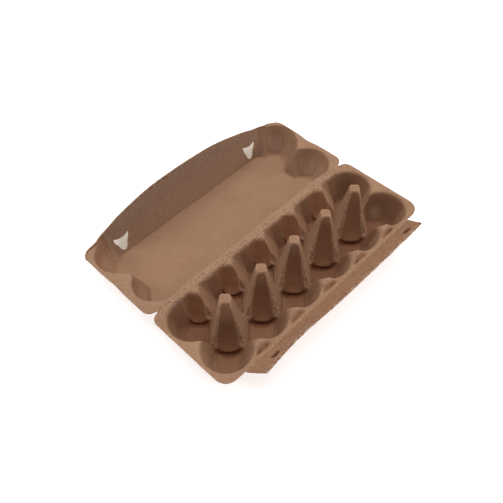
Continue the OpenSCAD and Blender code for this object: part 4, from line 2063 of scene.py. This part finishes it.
@dataclass
class Studio:
    """Pale floor, soft light and the camera, in metres."""

    # Camera
    eye: tuple[float, float, float] = (-0.2860, -0.2885, 0.5326)
    azimuth: float = -43.30
    elevation: float = 52.20
    roll: float = -2.79
    lens: float = 42.4
    sensor: float = 36.0
    clip: tuple[float, float] = (0.01, 50.0)
    # Floor, and its shade behind the lid
    floor_half: float = 4.0
    white: Colour = (0.93, 0.93, 0.93)
    matt: float = 0.9
    glow: float = 0.65
    shade: Colour = (0.34, 0.295, 0.24)
    shade_y: float = 0.129
    shade_behind: Span = (0.008, 0.022)
    shade_beside: Span = (0.125, 0.15)
    shade_reach: float = 0.07
    shade_samples: int = 16
    shade_span: Span = (0.8, 0.95)
    # Light
    sky: Colour = (0.94, 0.96, 1.06)
    sky_strength: float = 0.06
    sky_seen: float = 0.8
    lights: tuple[SoftLight, ...] = (
        SoftLight("overhead", (0.18, 0.12, 1.5), 1.4, 20.0),
        SoftLight("left", (-1.0, 1.0, 0.8), 1.0, 8.5),
        SoftLight("right", (1.0, -1.0, 0.8), 1.0, 9.5),
    )

    def openness(self, bench: NodeBench) -> Socket:
        """How open the floor lies to the light behind the carton.

        Args:
            bench: The bench of the floor's material.

        Returns:
            1 on open floor, down to 0 close behind the carton's lid.
        """
        near = bench.add("ShaderNodeAmbientOcclusion", samples=self.shade_samples)
        near.inputs["Distance"].default_value = self.shade_reach
        split = bench.add("ShaderNodeSeparateXYZ")
        bench.join(bench.add("ShaderNodeTexCoord").outputs["Object"], split.inputs["Vector"])
        behind = bench.math("ABSOLUTE", bench.math("SUBTRACT", split.outputs["Y"], self.shade_y), 0.0)
        beside = bench.ramp(bench.math("ABSOLUTE", split.outputs["X"], 0.0), *self.shade_beside)
        clear = bench.math("MAXIMUM", bench.ramp(behind, *self.shade_behind), beside)
        return bench.math("MAXIMUM", bench.ramp(near.outputs["AO"], *self.shade_span), clear)

    def floor(self) -> None:
        """Lays a plain pale floor that is in shade close behind the lid."""
        bm = bmesh.new()
        bmesh.ops.create_grid(bm, x_segments=1, y_segments=1, size=self.floor_half)
        made = link_mesh("floor", bm)
        pale = bpy.data.materials.new("floor_white")
        pale.use_nodes = True
        shader = pale.node_tree.nodes["Principled BSDF"]
        bench = NodeBench(pale.node_tree)
        tint = bench.mix(self.openness(bench), self.shade, self.white)
        bench.join(tint, shader.inputs["Base Color"])
        bench.join(tint, shader.inputs["Emission Color"])
        shader.inputs["Roughness"].default_value = self.matt
        shader.inputs["Emission Strength"].default_value = self.glow
        made.data.materials.append(pale)

    def light(self) -> None:
        """Hangs the soft lights under an even sky, which the camera sees as a pale backdrop."""
        world = bpy.data.worlds.new("studio")
        world.use_nodes = True
        sky = world.node_tree.nodes["Background"]
        sky.inputs["Color"].default_value = (*self.sky, 1.0)
        bench = NodeBench(world.node_tree)
        seen = bench.add("ShaderNodeLightPath").outputs["Is Camera Ray"]
        strength = bench.math("ADD", bench.scaled(seen, self.sky_seen), self.sky_strength)
        bench.join(strength, sky.inputs["Strength"])
        bpy.context.scene.world = world
        for light in self.lights:
            light.hang()
        bpy.context.scene.view_settings.view_transform = "Standard"
        bpy.context.scene.view_settings.look = "None"

    def camera(self) -> None:
        """Places the camera at the photograph's viewing angle."""
        a, e, r = (math.radians(v) for v in (self.azimuth, self.elevation, self.roll))
        back = Vector((math.sin(a) * math.cos(e), -math.cos(a) * math.cos(e), math.sin(e)))
        right = (-back).cross(Vector((0, 0, 1))).normalized()
        up = right.cross(-back)
        rolled_right = right * math.cos(r) + up * math.sin(r)
        rolled_up = up * math.cos(r) - right * math.sin(r)
        camera = bpy.data.cameras.new("camera")
        camera.lens = self.lens
        camera.sensor_width = self.sensor
        camera.clip_start, camera.clip_end = self.clip
        made = bpy.data.objects.new("camera", camera)
        turn = Matrix((rolled_right, rolled_up, back)).transposed()
        made.matrix_world = Matrix.Translation(Vector(self.eye)) @ turn.to_4x4()
        bpy.context.scene.collection.objects.link(made)
        bpy.context.scene.camera = made

    def build(self) -> None:
        """Sets the whole stage."""
        self.floor()
        self.light()
        self.camera()


def main() -> None:
    """Builds the carton piece by piece and sets it in the studio."""
    logging.basicConfig(level=logging.INFO, format="%(name)s: %(message)s")
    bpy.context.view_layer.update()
    carton = CartonFrame.from_packed(frame)
    pulps = [
        PulpFinish(Slot.TRAY.value),
        PulpFinish(Slot.FLAP.value),
        PulpFinish(Slot.LID.value, pale=ASHEN),
    ]
    finishes = {Slot(pulp.name): pulp.material() for pulp in pulps}
    bodies: dict[str, list[str]] = frame["record"]["behaviour"]["bodies"]
    flap = LockFlap(carton)
    sheets: list[tuple[MouldedSheet, list[str]]] = [
        (Tray(carton), [node for node in bodies[Body.TRAY.value] if not node.endswith("crease")]),
        (Lid(carton), list(bodies[Body.LID.value])),
        (flap, list(bodies[Body.FLAP.value])),
        (CreaseWeb.of_lid(carton), ["lid_crease"]),
        (CreaseWeb.of_flap(carton, flap), ["flap_crease"]),
    ]
    for sheet, nodes in sheets:
        piece = sheet.build(finishes[sheet.slot])
        sheet.dress(piece, nodes)
        LOG.info("%s on %s: %d faces", piece.name, sheet.body.value, len(piece.data.polygons))
    Studio().build()


if __name__ == "__main__":
    main()
